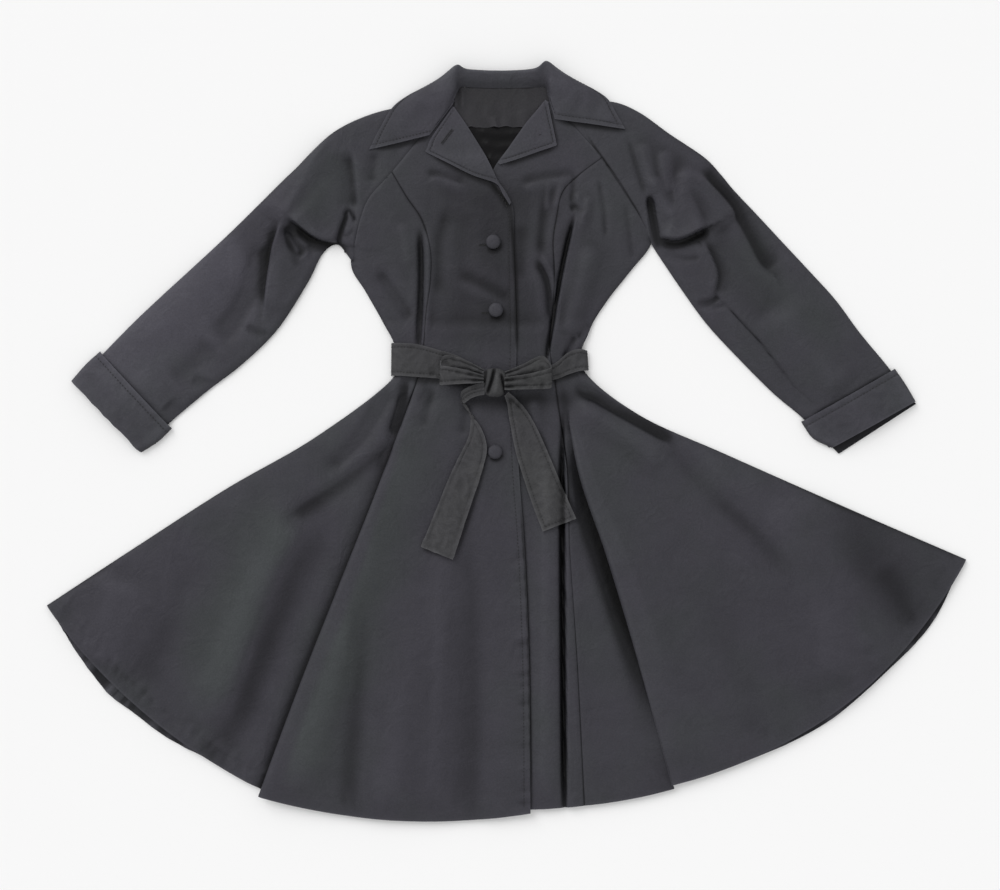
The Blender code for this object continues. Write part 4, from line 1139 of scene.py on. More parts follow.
RIPPLE_COLUMN, RIPPLE_SEED, RIPPLE_RAISE = 7.7, 3.1, 0.2
RIPPLE_FROM, RIPPLE_FADE, RIPPLE_LEFT = 330, 60, 0.35


def spread_along(line, shares):
    """Points on a plan line at shares of its run from side to side."""
    return np.stack([np.interp(shares, np.linspace(0, 1, len(line)), line[:, k]) for k in (0, 1)], -1)


back_sides = {}
back_steps = np.maximum(BODY_STEPS // BACK_COARSER, BACK_LEAST_STEPS)
back_steps[-1] = BACK_LAST_STEPS
for name, inward in (("right", 1), ("left", -1)):
    knots = column(BACK_SHOULDERS, name) + column(BODY[len(BACK_SHOULDERS):], "side_" + name)
    edge = smooth(knots, back_steps)
    pull = WAIST_INSET * np.exp(-(((edge[:, 1] - WAIST_MIDDLE) / WAIST_SPREAD) ** 2))
    back_sides[name] = shifted(edge, inward * BACK_INSET) + np.stack([inward * pull, np.zeros_like(pull)], -1)
plan = span(back_sides["right"], back_sides["left"], BACK_COLUMNS)
skirt = skirt_share(station_of_row(back_steps)) ** SAG_GROWTH
hem_places = np.linspace(0, 1, BACK_COLUMNS + 1)
plan = plan + skirt[:, None, None] * (spread_along(smooth(BACK_HEM, BACK_HEM_STEPS), hem_places) - plan[-1])
lift = waist_raise(plan[..., 1]) * ease((BACK_HALF_WAIST - np.abs(plan[..., 0])) / HALF_WAIST_FADE)
grid = np.concatenate([plan, CLOTH + lift[..., None]], -1)
ripple_places = np.arange(BACK_COLUMNS + 1) * RIPPLE_COLUMN / RIPPLE_SIZE
ripple = np.array([noise.noise(Vector((place, RIPPLE_SEED, 0))) for place in ripple_places])
shown = ease((-RIPPLE_FROM - plan[..., 0]) / RIPPLE_FADE)
shown = shown + RIPPLE_LEFT * ease((plan[..., 0] - RIPPLE_FROM) / RIPPLE_FADE)
near_hem = np.exp(-edge_distances(grid)["end"] / RIPPLE_REACH)
grid[..., 2] += RIPPLE_HEIGHT * np.maximum(ripple + RIPPLE_RAISE, 0) * near_hem * shown
# painted shade on the back, which lies under the coat, and painted light on the crests of its ripples
shade = BACK_SHADE - RIPPLE_LIGHT * np.maximum(ripple, 0) * shown
shell("back", grid, CLOTH, TWILL, shade=shade)
print("back:", grid.shape)

# %% [markdown]
# ## Fronts
# Four panels make the front: a centre front and a side front on each side, joined by the princess seams.
# A turned hem is held by hidden stitches that gather the cloth a little, so small slanting puckers run
# along it. They are noise, stretched along the hem and kept to a band.

# %% Puckers along a hem
HEM_STITCH, PUCKER_SIZE, PUCKER_HEIGHT, PUCKER_SEED, PUCKER_LEAST = 22.0, 9.0, 1.3, 7.7, 0.02
PUCKER_REACH, PUCKER_SLANT, PUCKER_LENGTH = 16.0, 0.35, 22.0
HEM_DIP, HEM_DIP_WIDTH = 0.35, 2.5


def pucker(grid, amount):
    """Small puckers along the hem's hidden stitching."""
    gaps = edge_distances(grid)
    band = np.exp(-(((gaps["end"] - HEM_STITCH) / PUCKER_REACH) ** 2))
    for row, place in zip(*np.nonzero(band > PUCKER_LEAST)):
        along, inward = gaps["first"][row, place], gaps["end"][row, place]
        spot = Vector(((along + PUCKER_SLANT * inward) / PUCKER_SIZE, inward / PUCKER_LENGTH, PUCKER_SEED))
        grid[row, place, 2] += amount * PUCKER_HEIGHT * noise.noise(spot) * band[row, place]
    grid[..., 2] -= HEM_DIP * amount * np.exp(-(((gaps["end"] - HEM_STITCH) / HEM_DIP_WIDTH) ** 2))
    return grid


print("hem stitched at", HEM_STITCH, "mm")

# %% [markdown]
# The right side front runs under the tuck of the centre front from the waist down. The shade beside the
# tuck is painted, because the gap is thinner than a pixel.

# %% Right side front
UNDERLAP, UNDERLAP_TOP, UNDERLAP_GROWTH = 22.0, 60.0, 95.0
SIDE_FRONT_COLUMNS, SIDE_FRONT_PUCKERS, TUCK_SHADE, TUCK_SHADE_REACH = 118, 1.5, 1.0, 4.0

under = UNDERLAP * ease((UNDERLAP_TOP - SEAMS["princess_right"][:, 1]) / UNDERLAP_GROWTH)
tucked = SEAMS["princess_right"] + np.stack([under, np.zeros_like(under)], -1)
sag = skirt_sag(HEM_SAG["side_front_right"])
plan = span(SEAMS["side_right"], tucked, SIDE_FRONT_COLUMNS, sag, (True, True))
grid = pucker(raised(plan, beside_tuck_top), SIDE_FRONT_PUCKERS)
to_tuck = np.minimum(distance_to(SEAMS["princess_right"], plan[..., 0], plan[..., 1])[0], 0)
beside_tuck = TUCK_SHADE * tuck_growth(plan[..., 1]) * np.exp(to_tuck / TUCK_SHADE_REACH)
shell("side_front_right", grid, CLOTH, TWILL, (False, True), lie_of(plan), ["back_cloth"],
      contacts(grid) + beside_tuck, joined_edge(grid, "last", slice(SKIRT_ROW)))
print("right side front:", grid.shape)

# %% [markdown]
# The right centre front carries the buttons. Its edge is topstitched, and below the waist it puckers
# along the stitches, because an edge that hangs loose draws up.

# %% Right centre front
FRONT_COLUMNS, FRONT_PUCKERS, EDGE_STITCH, EDGE_PUCKER_SEED = 84, 0.5, 10.0, 2.3
EDGE_PUCKER_SIZE, EDGE_PUCKER_WIDTH, EDGE_PUCKER_HEIGHT, EDGE_PUCKER_LIGHT = 11.0, 10.0, 2.0, 0.45
EDGE_PUCKER_TOP, EDGE_PUCKER_GROWTH = -60.0, 220.0

sag = skirt_sag(HEM_SAG["front_right"])
plan = span(SEAMS["princess_right"], SEAMS["closing"], FRONT_COLUMNS, sag, (True, True))
front_right = press(pucker(raised(plan, front_top), FRONT_PUCKERS), ["last"], EDGE_STITCH)
gaps = edge_distances(front_right)
edge_places = gaps["start"][:, -1] / EDGE_PUCKER_SIZE
along = np.array([noise.noise(Vector((place, EDGE_PUCKER_SEED, 0))) for place in edge_places])
grown = ease((EDGE_PUCKER_TOP - front_right[:, -1, 1]) / EDGE_PUCKER_GROWTH)
band = np.exp(-(((gaps["last"] - EDGE_STITCH) / EDGE_PUCKER_WIDTH) ** 2))
puckered = (along * grown)[:, None] * band
front_right[..., 2] += EDGE_PUCKER_HEIGHT * puckered
# painted light on the crests of the edge puckers and painted shade in their troughs
shell("front_right", front_right, CLOTH, TWILL, (True, False), lie_of(plan),
      ["side_front_right_cloth"], contacts(front_right) - puckered * EDGE_PUCKER_LIGHT,
      joined_edge(front_right, "first", slice(SKIRT_ROW)))
print("right centre front:", front_right.shape)

# %% Left centre front
LEFT_FRONT_COLUMNS, LEFT_FRONT_PUCKERS = 48, 0.4

sag = skirt_sag(HEM_SAG["front_left"])
plan = span(SEAMS["underlap"], SEAMS["princess_left"], LEFT_FRONT_COLUMNS, sag, (False, True))
grid = pucker(raised(plan, upper_top), LEFT_FRONT_PUCKERS)
shell("front_left", grid, CLOTH, TWILL, (False, True), lie_of(plan), ["back_cloth"],
      contacts(grid), joined_edge(grid, "last"))
print("left centre front:", grid.shape)

# %% [markdown]
# The left side front makes one large fold: its cloth runs under itself and comes back over the top. A
# height over the floor can't say that, because there are three layers in one place. So each row of the
# grid goes right on the lower layer, back left below the top layer, and right again on it. The top layer
# ends a little short of the hem, where the layer below it shows.

# %% Left side front with the large fold
LOW_COLUMNS, HIGH_COLUMNS, LEFT_SIDE_PUCKERS = 20, 96, 0.5
HEM_STEP, HEM_STEP_REACH, HEM_STEP_POWER = 5.5, 0.6, 12
MIDDLE_SHARES = (0.12, 0.28, 0.46, 0.64, 0.8, 0.92, 0.98)
FOLD_TUCK, NOSE, NOSE_DROP, LAYER_GAP, UNDER_FOLD_SHADE, FLAT_TURN = 26.0, 9.0, 0.5, 2.2, 1.1, 0.8


def low_top(x, y):
    """Top of the lower layer of the fold."""
    return upper_top(x, y, layer="low")


fold_edge = SEAMS["fold_left"]
opened = fold_growth(fold_edge[:, 1])
deep = fold_edge + np.stack([FOLD_TUCK * opened - FLAT_TURN * (1 - opened), np.zeros_like(opened)], -1)
sag = skirt_sag(HEM_SAG["fold"])
low = raised(span(SEAMS["princess_left"], deep, LOW_COLUMNS, sag, (True, False)), low_top)
sag = skirt_sag(HEM_SAG["side_front_left"])
high_plan = span(fold_edge, SEAMS["side_left"], HIGH_COLUMNS, sag, (True, True))
up = high_plan[-2] - high_plan[-1]
up /= np.linalg.norm(up, axis=-1, keepdims=True)
beside_fold = 1 - ease(np.linspace(0, 1, high_plan.shape[1]) / HEM_STEP_REACH)
near_hem = np.linspace(0, 1, len(high_plan)) ** HEM_STEP_POWER
high_plan = high_plan + HEM_STEP * near_hem[:, None, None] * beside_fold[:, None] * up
high = raised(high_plan, upper_top)
roll = dome(edge_distances(high)["first"] / NOSE)
under_high = low_top(high_plan[..., 0], high_plan[..., 1])
high[..., 2] -= (1 - roll) * NOSE_DROP * np.maximum(high[..., 2] - under_high, 0)
level = low[:, -1, 2] + opened * LAYER_GAP
middle = []
for share in MIDDLE_SHARES:
    point = low[:, -1] + share * (high[:, 0] - low[:, -1])
    point[:, 2] = level + share**2 * np.maximum(high[:, 0, 2] - level, 0)
    middle.append(point)
lie = np.concatenate([lie_of(low), np.zeros((len(low), len(middle))), lie_of(high_plan)], 1)
grid = pucker(np.concatenate([low, np.stack(middle, 1), high], 1), LEFT_SIDE_PUCKERS)
shade = contacts(grid)
turned = low.shape[1] + len(middle)
# painted shadow on the lower layer under the edge of the large fold
under_edge = fold_valley(grid[:, :turned, 0], grid[:, :turned, 1]) / FOLD_VALLEY
shade[:, :turned] += UNDER_FOLD_SHADE * under_edge
shell("side_front_left", grid, CLOTH, TWILL, (True, False), lie, ["back_cloth"], shade,
      joined_edge(grid, "first"))
print("left side front:", grid.shape)

# %% [markdown]
# ## Sleeves and cuffs
# A sleeve is a tube that lies flat, so it is made as two sheets. The front half shows, dips into the
# raglan seam and rolls round at its folds. The back half is hidden and plain. One tube with a squashed
# section would also do, but then the folds of the front would show on the back.

# %% Sleeves
SLEEVE_COLUMNS, HIDDEN_COLUMNS, RAGLAN_UNDER = 56, 16, 1.4
SEAM_STEP, SEAM_STEP_WIDTH, SEAM_FADE_ROWS = 0.9, 2.4, 8
SLEEVE_BACK_INSET, SLEEVE_BACK_SHORTER, SLEEVE_BACK_STRIDE = 3.4, 10, 4


def sleeve_front(side, outward):
    """The half of a sleeve that shows."""
    upper, lower, _, armpit_row = SLEEVE_LINES[side]
    sewn_in = ease((armpit_row - np.arange(len(lower))) / SEAM_FADE_ROWS)
    seam = lower + sewn_in[:, None] * (shifted(lower, outward * RAGLAN_UNDER) - lower)
    plan = span(upper, seam, SLEEVE_COLUMNS, None, (True, True))
    grid = raised(plan, upper_top)
    to_seam = edge_distances(grid)["last"]
    grid[..., 2] -= SEAM_STEP * sewn_in[:, None] * np.exp(-((to_seam / SEAM_STEP_WIDTH) ** 2))
    shell("sleeve_" + side + "_front", grid, CLOTH, TWILL, lie=lie_of(plan),
          rests_on=["sleeve_" + side + "_back_cloth"], shade=contacts(grid),
          joined=joined_edge(grid, "last", slice(armpit_row)))


def sleeve_back(side, outward):
    """The hidden half of a sleeve; returns its two edges."""
    upper, lower, steps, _ = SLEEVE_LINES[side]
    kept = slice(None, int(steps[:CUFF_STATION].sum()) - SLEEVE_BACK_SHORTER, SLEEVE_BACK_STRIDE)
    edges = (upper, outward), (lower, -outward)
    inner = [shifted(line, turn * SLEEVE_BACK_INSET)[kept] for line, turn in edges]
    plan = span(*inner, HIDDEN_COLUMNS)
    shell("sleeve_" + side + "_back", laid(plan, CLOTH), CLOTH, TWILL)
    return inner


print("a sleeve has", SLEEVE_COLUMNS, "columns")

# %% [markdown]
# Stiff doubled cloth crumples in small sharp creases. Folded noise, the distance of a noise from 0, has
# such creases. Displacing with plain noise would give soft lumps instead.

# %% Small creases
CRUMPLE_MIDDLE = 0.25


def crumple(points, size, height, seed=0):
    """Uneven small creases over a grid of points: folded noise of a given size and height."""
    flat = points.reshape(-1, 3)
    values = [abs(noise.noise(Vector((p[0] / size, p[1] / size, seed)))) for p in flat]
    return height * (CRUMPLE_MIDDLE - np.array(values).reshape(points.shape[:-1]))


print("a crease at the origin:", crumple(np.zeros((1, 3)), 15, 1.0).round(2))

# %% [markdown]
# The cuffs are turned back over the sleeves and topstitched. Each is a sheet a little above the sleeve,
# rolled round at the sleeve's two folds, with its hidden half below. The open edge of the right one
# waves.

# %% Cuffs
Cuff = namedtuple("Cuff", "upper lower")
CUFF_RIGHT = [Cuff((-611, 136), (-503, 20)), Cuff((-632, 117), (-524, 0)), Cuff((-654, 92), (-549, -16))]
CUFF_LEFT = [Cuff((584, 110), (443, 30)), Cuff((601, 85), (461, 5)), Cuff((615, 61), (489, -9))]
CUFF_STEPS, CUFF_COLUMNS, CUFF_ROLL, CUFF_LIFT, CUFF_LIGHT = 14, 50, 9.0, 3.6, -0.3
CUFF_CREASE, CUFF_CREASE_HEIGHT, CUFF_CREASE_SEED = 15, 1.2, 2
CUFF_STITCH, CUFF_STITCH_TRIM, CUFF_SEWING = 9.0, (5, 5), Sewing(5.4, 3.4, 1.3, 0)
MOUTH_WAVE, MOUTH_WAVE_HEIGHT, MOUTH_WAVE_SEED = 19.0, 3.2, 3


def wave_mouth(grid):
    """Lets the open edge of a cuff wave in and out, but for its corners."""
    out = grid[-1] - grid[-2]
    out /= np.linalg.norm(out, axis=-1, keepdims=True)
    spots = [Vector((p[0] / MOUTH_WAVE, p[1] / MOUTH_WAVE, MOUTH_WAVE_SEED)) for p in grid[-1]]
    wave = np.array([noise.noise(spot) for spot in spots])
    wave *= np.sin(np.pi * np.linspace(0, 1, len(wave))) ** 0.5
    shares = np.linspace(0, 1, len(grid))[:, None, None] ** 2
    grid[..., :2] += (shares * (MOUTH_WAVE_HEIGHT * wave)[None, :, None] * out[None])[..., :2]


def cuff_front(side, table):
    """The half of a cuff that shows; returns its two long edges."""
    edges = [smooth(column(table, name), CUFF_STEPS) for name in Cuff._fields]

    def top(x, y):
        """Over the sleeve, rolled round at the two long edges."""
        edge = np.min([np.abs(distance_to(line, x, y)[0]) for line in edges], axis=0)
        return EDGE_TOP + (upper_top(x, y, NO_ROLL) + CUFF_LIFT - EDGE_TOP) * dome(edge / CUFF_ROLL)

    grid = raised(span(*edges, CUFF_COLUMNS, None, (True, True)), top)
    grid[..., 2] += crumple(grid, CUFF_CREASE, CUFF_CREASE_HEIGHT, CUFF_CREASE_SEED)
    if side == "right":
        wave_mouth(grid)
    grid = press(grid, ["start"], CUFF_STITCH, CHANNEL_DEPTH)
    name = "cuff_" + side
    rests_on = ["sleeve_" + side + "_front_cloth"]
    # painted light on the cuff
    shell(name, grid, CLOTH, TWILL, rests_on=rests_on, shade=CUFF_LIGHT)
    STITCHES.append(StitchRow(name, line_beside(grid, "start", CUFF_STITCH, CUFF_STITCH_TRIM), CUFF_SEWING))
    return edges


print("cuffs stitched at", CUFF_STITCH, "mm")

# %% Sleeves with their cuffs
CUFF_BACK_INSET, CUFF_BACK_STEPS, CUFF_BACK_SHADE, SEAM_GAP = 14.0, 8, 1, 0.3
LEFT_MOUTH = [(616, 57), (500, -18)]


def cuff_back(side, inner, edges, outward):
    """The hidden half of a cuff, from the end of the sleeve's hidden half to the open edge."""
    ends = [shifted(line, turn * CUFF_BACK_INSET)[-1] for line, turn in zip(edges, (outward, -outward))]
    if side == "left":
        ends = np.array(LEFT_MOUTH, float)
    hidden = []
    for line, end in zip(inner, ends):
        begin = line[-1] + SEAM_GAP * (end - line[-1]) / np.hypot(*(end - line[-1]))
        hidden.append(smooth([begin, end], CUFF_BACK_STEPS))
    plan = span(*hidden, HIDDEN_COLUMNS)
    # the hidden half is painted in full shade, so that it shows as the dark mouth of the cuff
    shell("cuff_" + side + "_back", laid(plan, CLOTH), CLOTH, TWILL, shade=CUFF_BACK_SHADE)


for side, table, outward in (("right", CUFF_RIGHT, 1), ("left", CUFF_LEFT, -1)):
    sleeve_front(side, outward)
    inner = sleeve_back(side, outward)
    edges = cuff_front(side, table)
    cuff_back(side, inner, edges, outward)
print("sheets so far:", len(SHEETS))

# %% [markdown]
# ## Neck
# Inside the neck opening the facing of the back shows, and below it the satin lining. Only what shows is
# made. The facing is loose along its lower edge, so it ruffles there.

# %% Facing and lining
Inside = namedtuple("Inside", "right left")
FACING = [
    Inside((-76, 533), (66, 533)),
    Inside((-84, 516), (69, 517)),
    Inside((-84, 500), (64, 499)),
    Inside((-58, 474), (46, 475)),
]
LINING = [Inside((-58, 473.5), (46, 474.5)), Inside((-44, 400), (22, 400))]
INSIDE_LEVEL, FACING_CLOTH, LINING_CLOTH = CLOTH + SEAM_GAP, 1.2, 1.0
FACING_STEPS, FACING_COLUMNS, LINING_STEPS, LINING_COLUMNS = 12, 64, 30, 40
RUFFLE_SIZE, RUFFLE_SEED, RUFFLE_HEIGHT, RUFFLE_LEAST, RUFFLE_REACH = 11, 1.7, 2.2, -0.2, 16
FACING_LIFT, FACING_CREASE, FACING_CREASE_HEIGHT, FACING_CREASE_SEED = 0.8, 24, 1.4, 5
RUFFLE_DROP, RUFFLE_INSET, RUFFLE_ROWS = 2.6, 1.5, np.array([0.25, 0.5, 0.75, 1.0])
FACING_FOLDS = [
    Fold((-74, 536), (-72, 518), (-70, 498), 2.5, 2.5, -2.5),
    Fold((-79, 530), (-77, 516), (-75, 502), 3, 3, 2.5),
    Fold((-66, 530), (-66, 514), (-66, 500), 3, 3, 2),
    Fold((-20, 490), (-17, 481), (-14, 470), 4, 4, 3),
    Fold((22, 500), (26, 486), (30, 472), 7, 7, 1.6),
]
LINING_FOLDS = [
    Fold((-50, 468), (-10, 462), (36, 465), 5, 5, 2.2),
    Fold((-40, 452), (-12, 443), (24, 446), 6, 6, 2.4),
    Fold((-30, 430), (-16, 424), (4, 424), 6, 6, 1.8),
]
edges = [smooth(column(FACING, name), FACING_STEPS) for name in Inside._fields]
facing_top = INSIDE_LEVEL + FACING_CLOTH
grid = laid(span(*edges, FACING_COLUMNS), facing_top)
ruffle = np.array([noise.noise(Vector((x / RUFFLE_SIZE, RUFFLE_SEED, 0))) for x in grid[-1, :, 0]])
ruffled = np.maximum(ruffle, RUFFLE_LEAST) * np.exp(-edge_distances(grid)["end"] / RUFFLE_REACH)
creases = crumple(grid, FACING_CREASE, FACING_CREASE_HEIGHT, FACING_CREASE_SEED)
grid[..., 2] += FACING_LIFT + RUFFLE_HEIGHT * ruffled + creases
grid[..., 2] += folds_at(FACING_FOLDS, grid[..., 0], grid[..., 1])
grid[..., 2] = np.maximum(grid[..., 2], facing_top)
grid[-len(RUFFLE_ROWS):, :, 1] += (RUFFLE_DROP * ruffle - RUFFLE_INSET) * RUFFLE_ROWS[:, None]
shell("back_facing", grid, FACING_CLOTH, FACING_TWILL, rests_on=["back_cloth"])

edges = [smooth(column(LINING, name), LINING_STEPS) for name in Inside._fields]
grid = laid(span(*edges, LINING_COLUMNS), INSIDE_LEVEL + LINING_CLOTH)
grid[..., 2] += folds_at(LINING_FOLDS, grid[..., 0], grid[..., 1])
shell("lining", grid, LINING_CLOTH, SATIN, rests_on=["back_cloth"])
print("facing lies at", round(facing_top, 1), "mm")

# %% [markdown]
# The lapels are the front edges, turned back over the fronts. The right one runs out in a narrow roll
# along the closing. They are sheets a little above the fronts that dip at the fold. The right lapel has a
# worked buttonhole, and the left a small sewn mark, both made as stitches.

# %% Lapels
Lapel = namedtuple("Lapel", "outer fold")
LAPEL_RIGHT = [
    Lapel((-83, 499), (-79, 503)),
    Lapel((-112, 457), (-59, 474)),
    Lapel((-119, 441), (-49, 458)),
    Lapel((-121.5, 435.5), (-46.5, 454)),
    Lapel((-116, 432), (-44, 450)),
    Lapel((-88, 418), (-33, 432)),
    Lapel((-52, 400), (-23, 413)),
    Lapel((-16, 387), (-13, 392)),
    Lapel((-5.5, 371), (-1, 375)),
    Lapel((4.5, 355), (7, 359)),
]
LAPEL_LEFT = [
    Lapel((62, 510), (58, 513)),
    Lapel((68, 481), (45, 497)),
    Lapel((74.5, 450), (32, 482)),
    Lapel((75, 445), (29, 478)),
    Lapel((69.5, 442.6), (26, 474)),
    Lapel((44, 434), (14, 457)),
    Lapel((16, 424), (0, 437)),
    Lapel((-10, 416), (-13, 419)),
]
LAPEL_STEPS, LAPEL_COLUMNS, LAPEL_LIGHT = 9, 24, -0.4
LAPEL_LIFT, LAPEL_ROLL, LAPEL_DIP = 2.9, 6.0, 0.6
LAPEL_STITCH, LAPEL_STITCH_TRIM, COLLAR_SEWING = 7.0, (10, 12), Sewing(5.0, 3.2, 1.1, 0)


def lapel(side, table):
    """One turned-back lapel with its row of topstitching."""
    outer, fold = (smooth(column(table, name), LAPEL_STEPS) for name in Lapel._fields)

    def top(x, y):
        """Over the front, dipping a little at the fold."""
        rolled = dome(np.abs(distance_to(fold, x, y)[0]) / LAPEL_ROLL)
        return front_top(x, y) + LAPEL_LIFT + LAPEL_DIP * (rolled - 1)

    plan = span(outer, fold, LAPEL_COLUMNS, None, (True, True))
    grid = press(raised(plan, top), ["first"], LAPEL_STITCH, CHANNEL_DEPTH, CHANNEL_WIDTH)
    name = "lapel_" + side
    # painted light on the lapel
    shell(name, grid, CLOTH, TWILL, rests_on=["front_" + side + "_cloth"], shade=LAPEL_LIGHT)
    line = line_beside(grid, "first", LAPEL_STITCH, LAPEL_STITCH_TRIM)
    STITCHES.append(StitchRow(name, line, COLLAR_SEWING))


lapel("right", LAPEL_RIGHT)
lapel("left", LAPEL_LEFT)
print("lapels stitched at", LAPEL_STITCH, "mm")

# %% Buttonhole and mark on the lapels
LAPEL_HOLE, LAPEL_HOLE_STEPS, LAPEL_HOLE_HALF = [(-81, 468), (-97, 447)], 16, 1.2
LAPEL_MARK, ON_LAPEL = np.array([(49.4, 460.2), (51.2, 461.0)]), 0.3
LAPEL_HOLE_SEWING, MARK_SEWING = Sewing(0.9, 1.9, 0.8, 90), Sewing(1.0, 2.2, 1.2, 0)


def on_lapel(line):
    """A plan line laid on a lapel."""
    level = front_top(line[:, 0], line[:, 1]) + LAPEL_LIFT + ON_LAPEL
    return np.concatenate([line, level[:, None]], -1)


for name, turn in (("low", -1), ("high", 1)):
    hole = shifted(smooth(LAPEL_HOLE, LAPEL_HOLE_STEPS), turn * LAPEL_HOLE_HALF)
    STITCHES.append(StitchRow("lapel_hole_" + name, on_lapel(hole), LAPEL_HOLE_SEWING))
STITCHES.append(StitchRow("lapel_mark", on_lapel(LAPEL_MARK), MARK_SEWING))
print("rows of stitches so far:", len(STITCHES))

# %% [markdown]
# The collar stands up round the neck, rolls over and falls to two long points. It is one surface through
# rows of four points: neck, top of the roll, fall and outer edge. Each row is a curve, which straightens
# towards the front edges, where the collar lies flat. A bent and solidified strip would not reach these
# points so exactly.

# %% Collar
Leaf = namedtuple("Leaf", "neck roll fall outer")
COLLAR = [
    Leaf((-80.5, 506, 8.4), (-115.5, 460, 8.6), (-160, 449, 8.8), (-206, 438, 8.4)),
    Leaf((-77, 518, 9), (-96, 500, 12), (-143, 486, 11), (-190, 470, 8.8)),
    Leaf((-73, 526, 8), (-84, 530, 19), (-125, 520, 14), (-167, 506, 7.2)),
    Leaf((-70, 531, 6), (-79, 548, 22), (-101, 543, 13), (-122, 534, 4)),
    Leaf((-64, 533, 5), (-71, 560, 21), (-78, 562, 9), (-74, 553, 0)),
    Leaf((-50, 532, 5), (-55, 553, 18), (-58, 558, 8), (-55, 547, 0)),
    Leaf((-5, 531, 5), (-8, 551, 17), (-8, 556, 7.5), (-7, 545, 0)),
    Leaf((38, 532, 5), (39, 553, 18), (40, 559, 8), (39, 547, 0)),
    Leaf((54, 533, 5), (57, 565, 21), (62, 568, 9), (59, 558, 0)),
    Leaf((59, 531, 6), (66, 554, 22), (84, 553, 13), (104, 543, 4)),
    Leaf((61, 526, 8), (70, 538, 19), (108, 531, 14), (148, 518, 7.2)),
    Leaf((62, 521, 9), (76, 511, 12), (121, 503, 11), (165, 492, 8.8)),
    Leaf((63.5, 517, 8.4), (72, 484, 8.6), (125, 477, 8.8), (178, 469, 8.4)),
]
COLLAR_CLOTH, COLLAR_CLEAR, SHOULDER_TOP, COLLAR_LIGHT = 2.2, 0.3, 500.0, -0.4
COLLAR_STEPS, LEAF_STEPS, STRAIGHT_ROWS, FALL_STARTS = 14, 18, 12, 24
BACK_SEAM_X, BACK_SEAM_WIDTH, BACK_SEAM_DIP, STAND_FROM, STAND_FADE = 8.0, 1.3, 0.8, 530, 4
COLLAR_CREASE, COLLAR_CREASE_HEIGHT, COLLAR_CREASE_SEED = 30, 1.6, 31
COLLAR_STITCH = 7.5

rows = smooth([np.concatenate(leaf) for leaf in COLLAR], COLLAR_STEPS)
grid = []
for place, row in enumerate(rows):
    knots = row.reshape(len(Leaf._fields), 3)
    curved = smooth(knots, LEAF_STEPS)
    spots = np.arange(len(curved)) / LEAF_STEPS
    straight = np.stack([np.interp(spots, np.arange(len(knots)), knots[:, k]) for k in range(3)], -1)
    grid.append(straight + ease(min(place, len(rows) - 1 - place) / STRAIGHT_ROWS) * (curved - straight))
grid = np.array(grid)
stand = ease((grid[..., 1] - STAND_FROM) / STAND_FADE)
back_seam = stand * np.exp(-(((grid[..., 0] - BACK_SEAM_X) / BACK_SEAM_WIDTH) ** 2))
creases = crumple(grid, COLLAR_CREASE, COLLAR_CREASE_HEIGHT, COLLAR_CREASE_SEED)
grid[..., 2] += creases - BACK_SEAM_DIP * back_seam
fall = grid[:, FALL_STARTS:]
over = front_top(fall[..., 0], fall[..., 1]) + COLLAR_CLOTH + COLLAR_CLEAR
fall[..., 2] = np.where(fall[..., 1] < SHOULDER_TOP, np.maximum(fall[..., 2], over), fall[..., 2])
grid[..., 2] = np.maximum(grid[..., 2], 0)
collar = press(grid, ["start", "end", "last"], COLLAR_STITCH, CHANNEL_DEPTH, CHANNEL_WIDTH)
# painted light on the collar
shell("collar", collar, COLLAR_CLOTH, TWILL, rests_on=["back_cloth"], shade=COLLAR_LIGHT)
print("collar:", collar.shape)

# %% Stitches of collar and front edge
COLLAR_TRIMS = {
    "start": (58, COLLAR_STITCH),
    "end": (40, COLLAR_STITCH),
    "last": (COLLAR_STITCH, COLLAR_STITCH),
}
COLLAR_ROWS = {"start": "collar_start", "end": "collar_end", "last": "collar_outer"}
EDGE_TRIM, EDGE_SEWING = (155, 12), Sewing(5.2, 3.2, 1.0, 0)

for edge, trim in COLLAR_TRIMS.items():
    line = line_beside(collar, edge, COLLAR_STITCH, trim)
    STITCHES.append(StitchRow(COLLAR_ROWS[edge], line, COLLAR_SEWING))
line = line_beside(front_right, "last", EDGE_STITCH, EDGE_TRIM)
STITCHES.append(StitchRow("front_edge", line, EDGE_SEWING))
print("rows of stitches so far:", len(STITCHES))

# %% [markdown]
# ## Belt
# The sash is a doubled strip of the coat's cloth, stitched along both edges and tied in a bow. Each
# stretch is a strip between two lines that bridges the folds below it. `rise` lifts it where it goes
# round the side, into the knot or over another stretch. A cloth simulation could tie a bow, but not this
# one.

# %% Belt stretches
Strip = namedtuple("Strip", "first second rise")
BELT_RIGHT = [
    Strip((-173, 148), (-173.5, 99), -9.0),
    Strip((-172, 148), (-172.5, 99), -5.0),
    Strip((-167, 148), (-168, 99), -1.5),
    Strip((-158, 148), (-159, 99), 0),
    Strip((-133, 146), (-133, 97), 0),
    Strip((-104, 138), (-106, 95), 0),
    Strip((-72, 128), (-74, 90), 0),
    Strip((-39, 109), (-39, 84), 0),
]
BELT_LEFT = [
    Strip((3, 106), (3, 84), 0),
    Strip((34, 108), (34, 88), 0),
    Strip((70, 116), (72, 93), 0),
    Strip((91, 133), (93, 101), 0),
    Strip((107, 139), (109, 106), 0),
    Strip((116, 138), (118, 106.5), -1.5),
    Strip((120.5, 137), (122, 107), -5.0),
    Strip((121.5, 136.5), (123.5, 107.5), -9.0),
]
BELT_BACK = [
    Strip((-168, 148), (-168, 99), 0),
    Strip((-30, 147), (-30, 97), 0),
    Strip((114, 139), (114, 97), 0),
]
BELT_CLOTH, BELT_LIFT, BELT_STITCH, BELT_SEWING = 1.8, 2.6, 6.0, Sewing(4.8, 3.0, 1.0, 0)
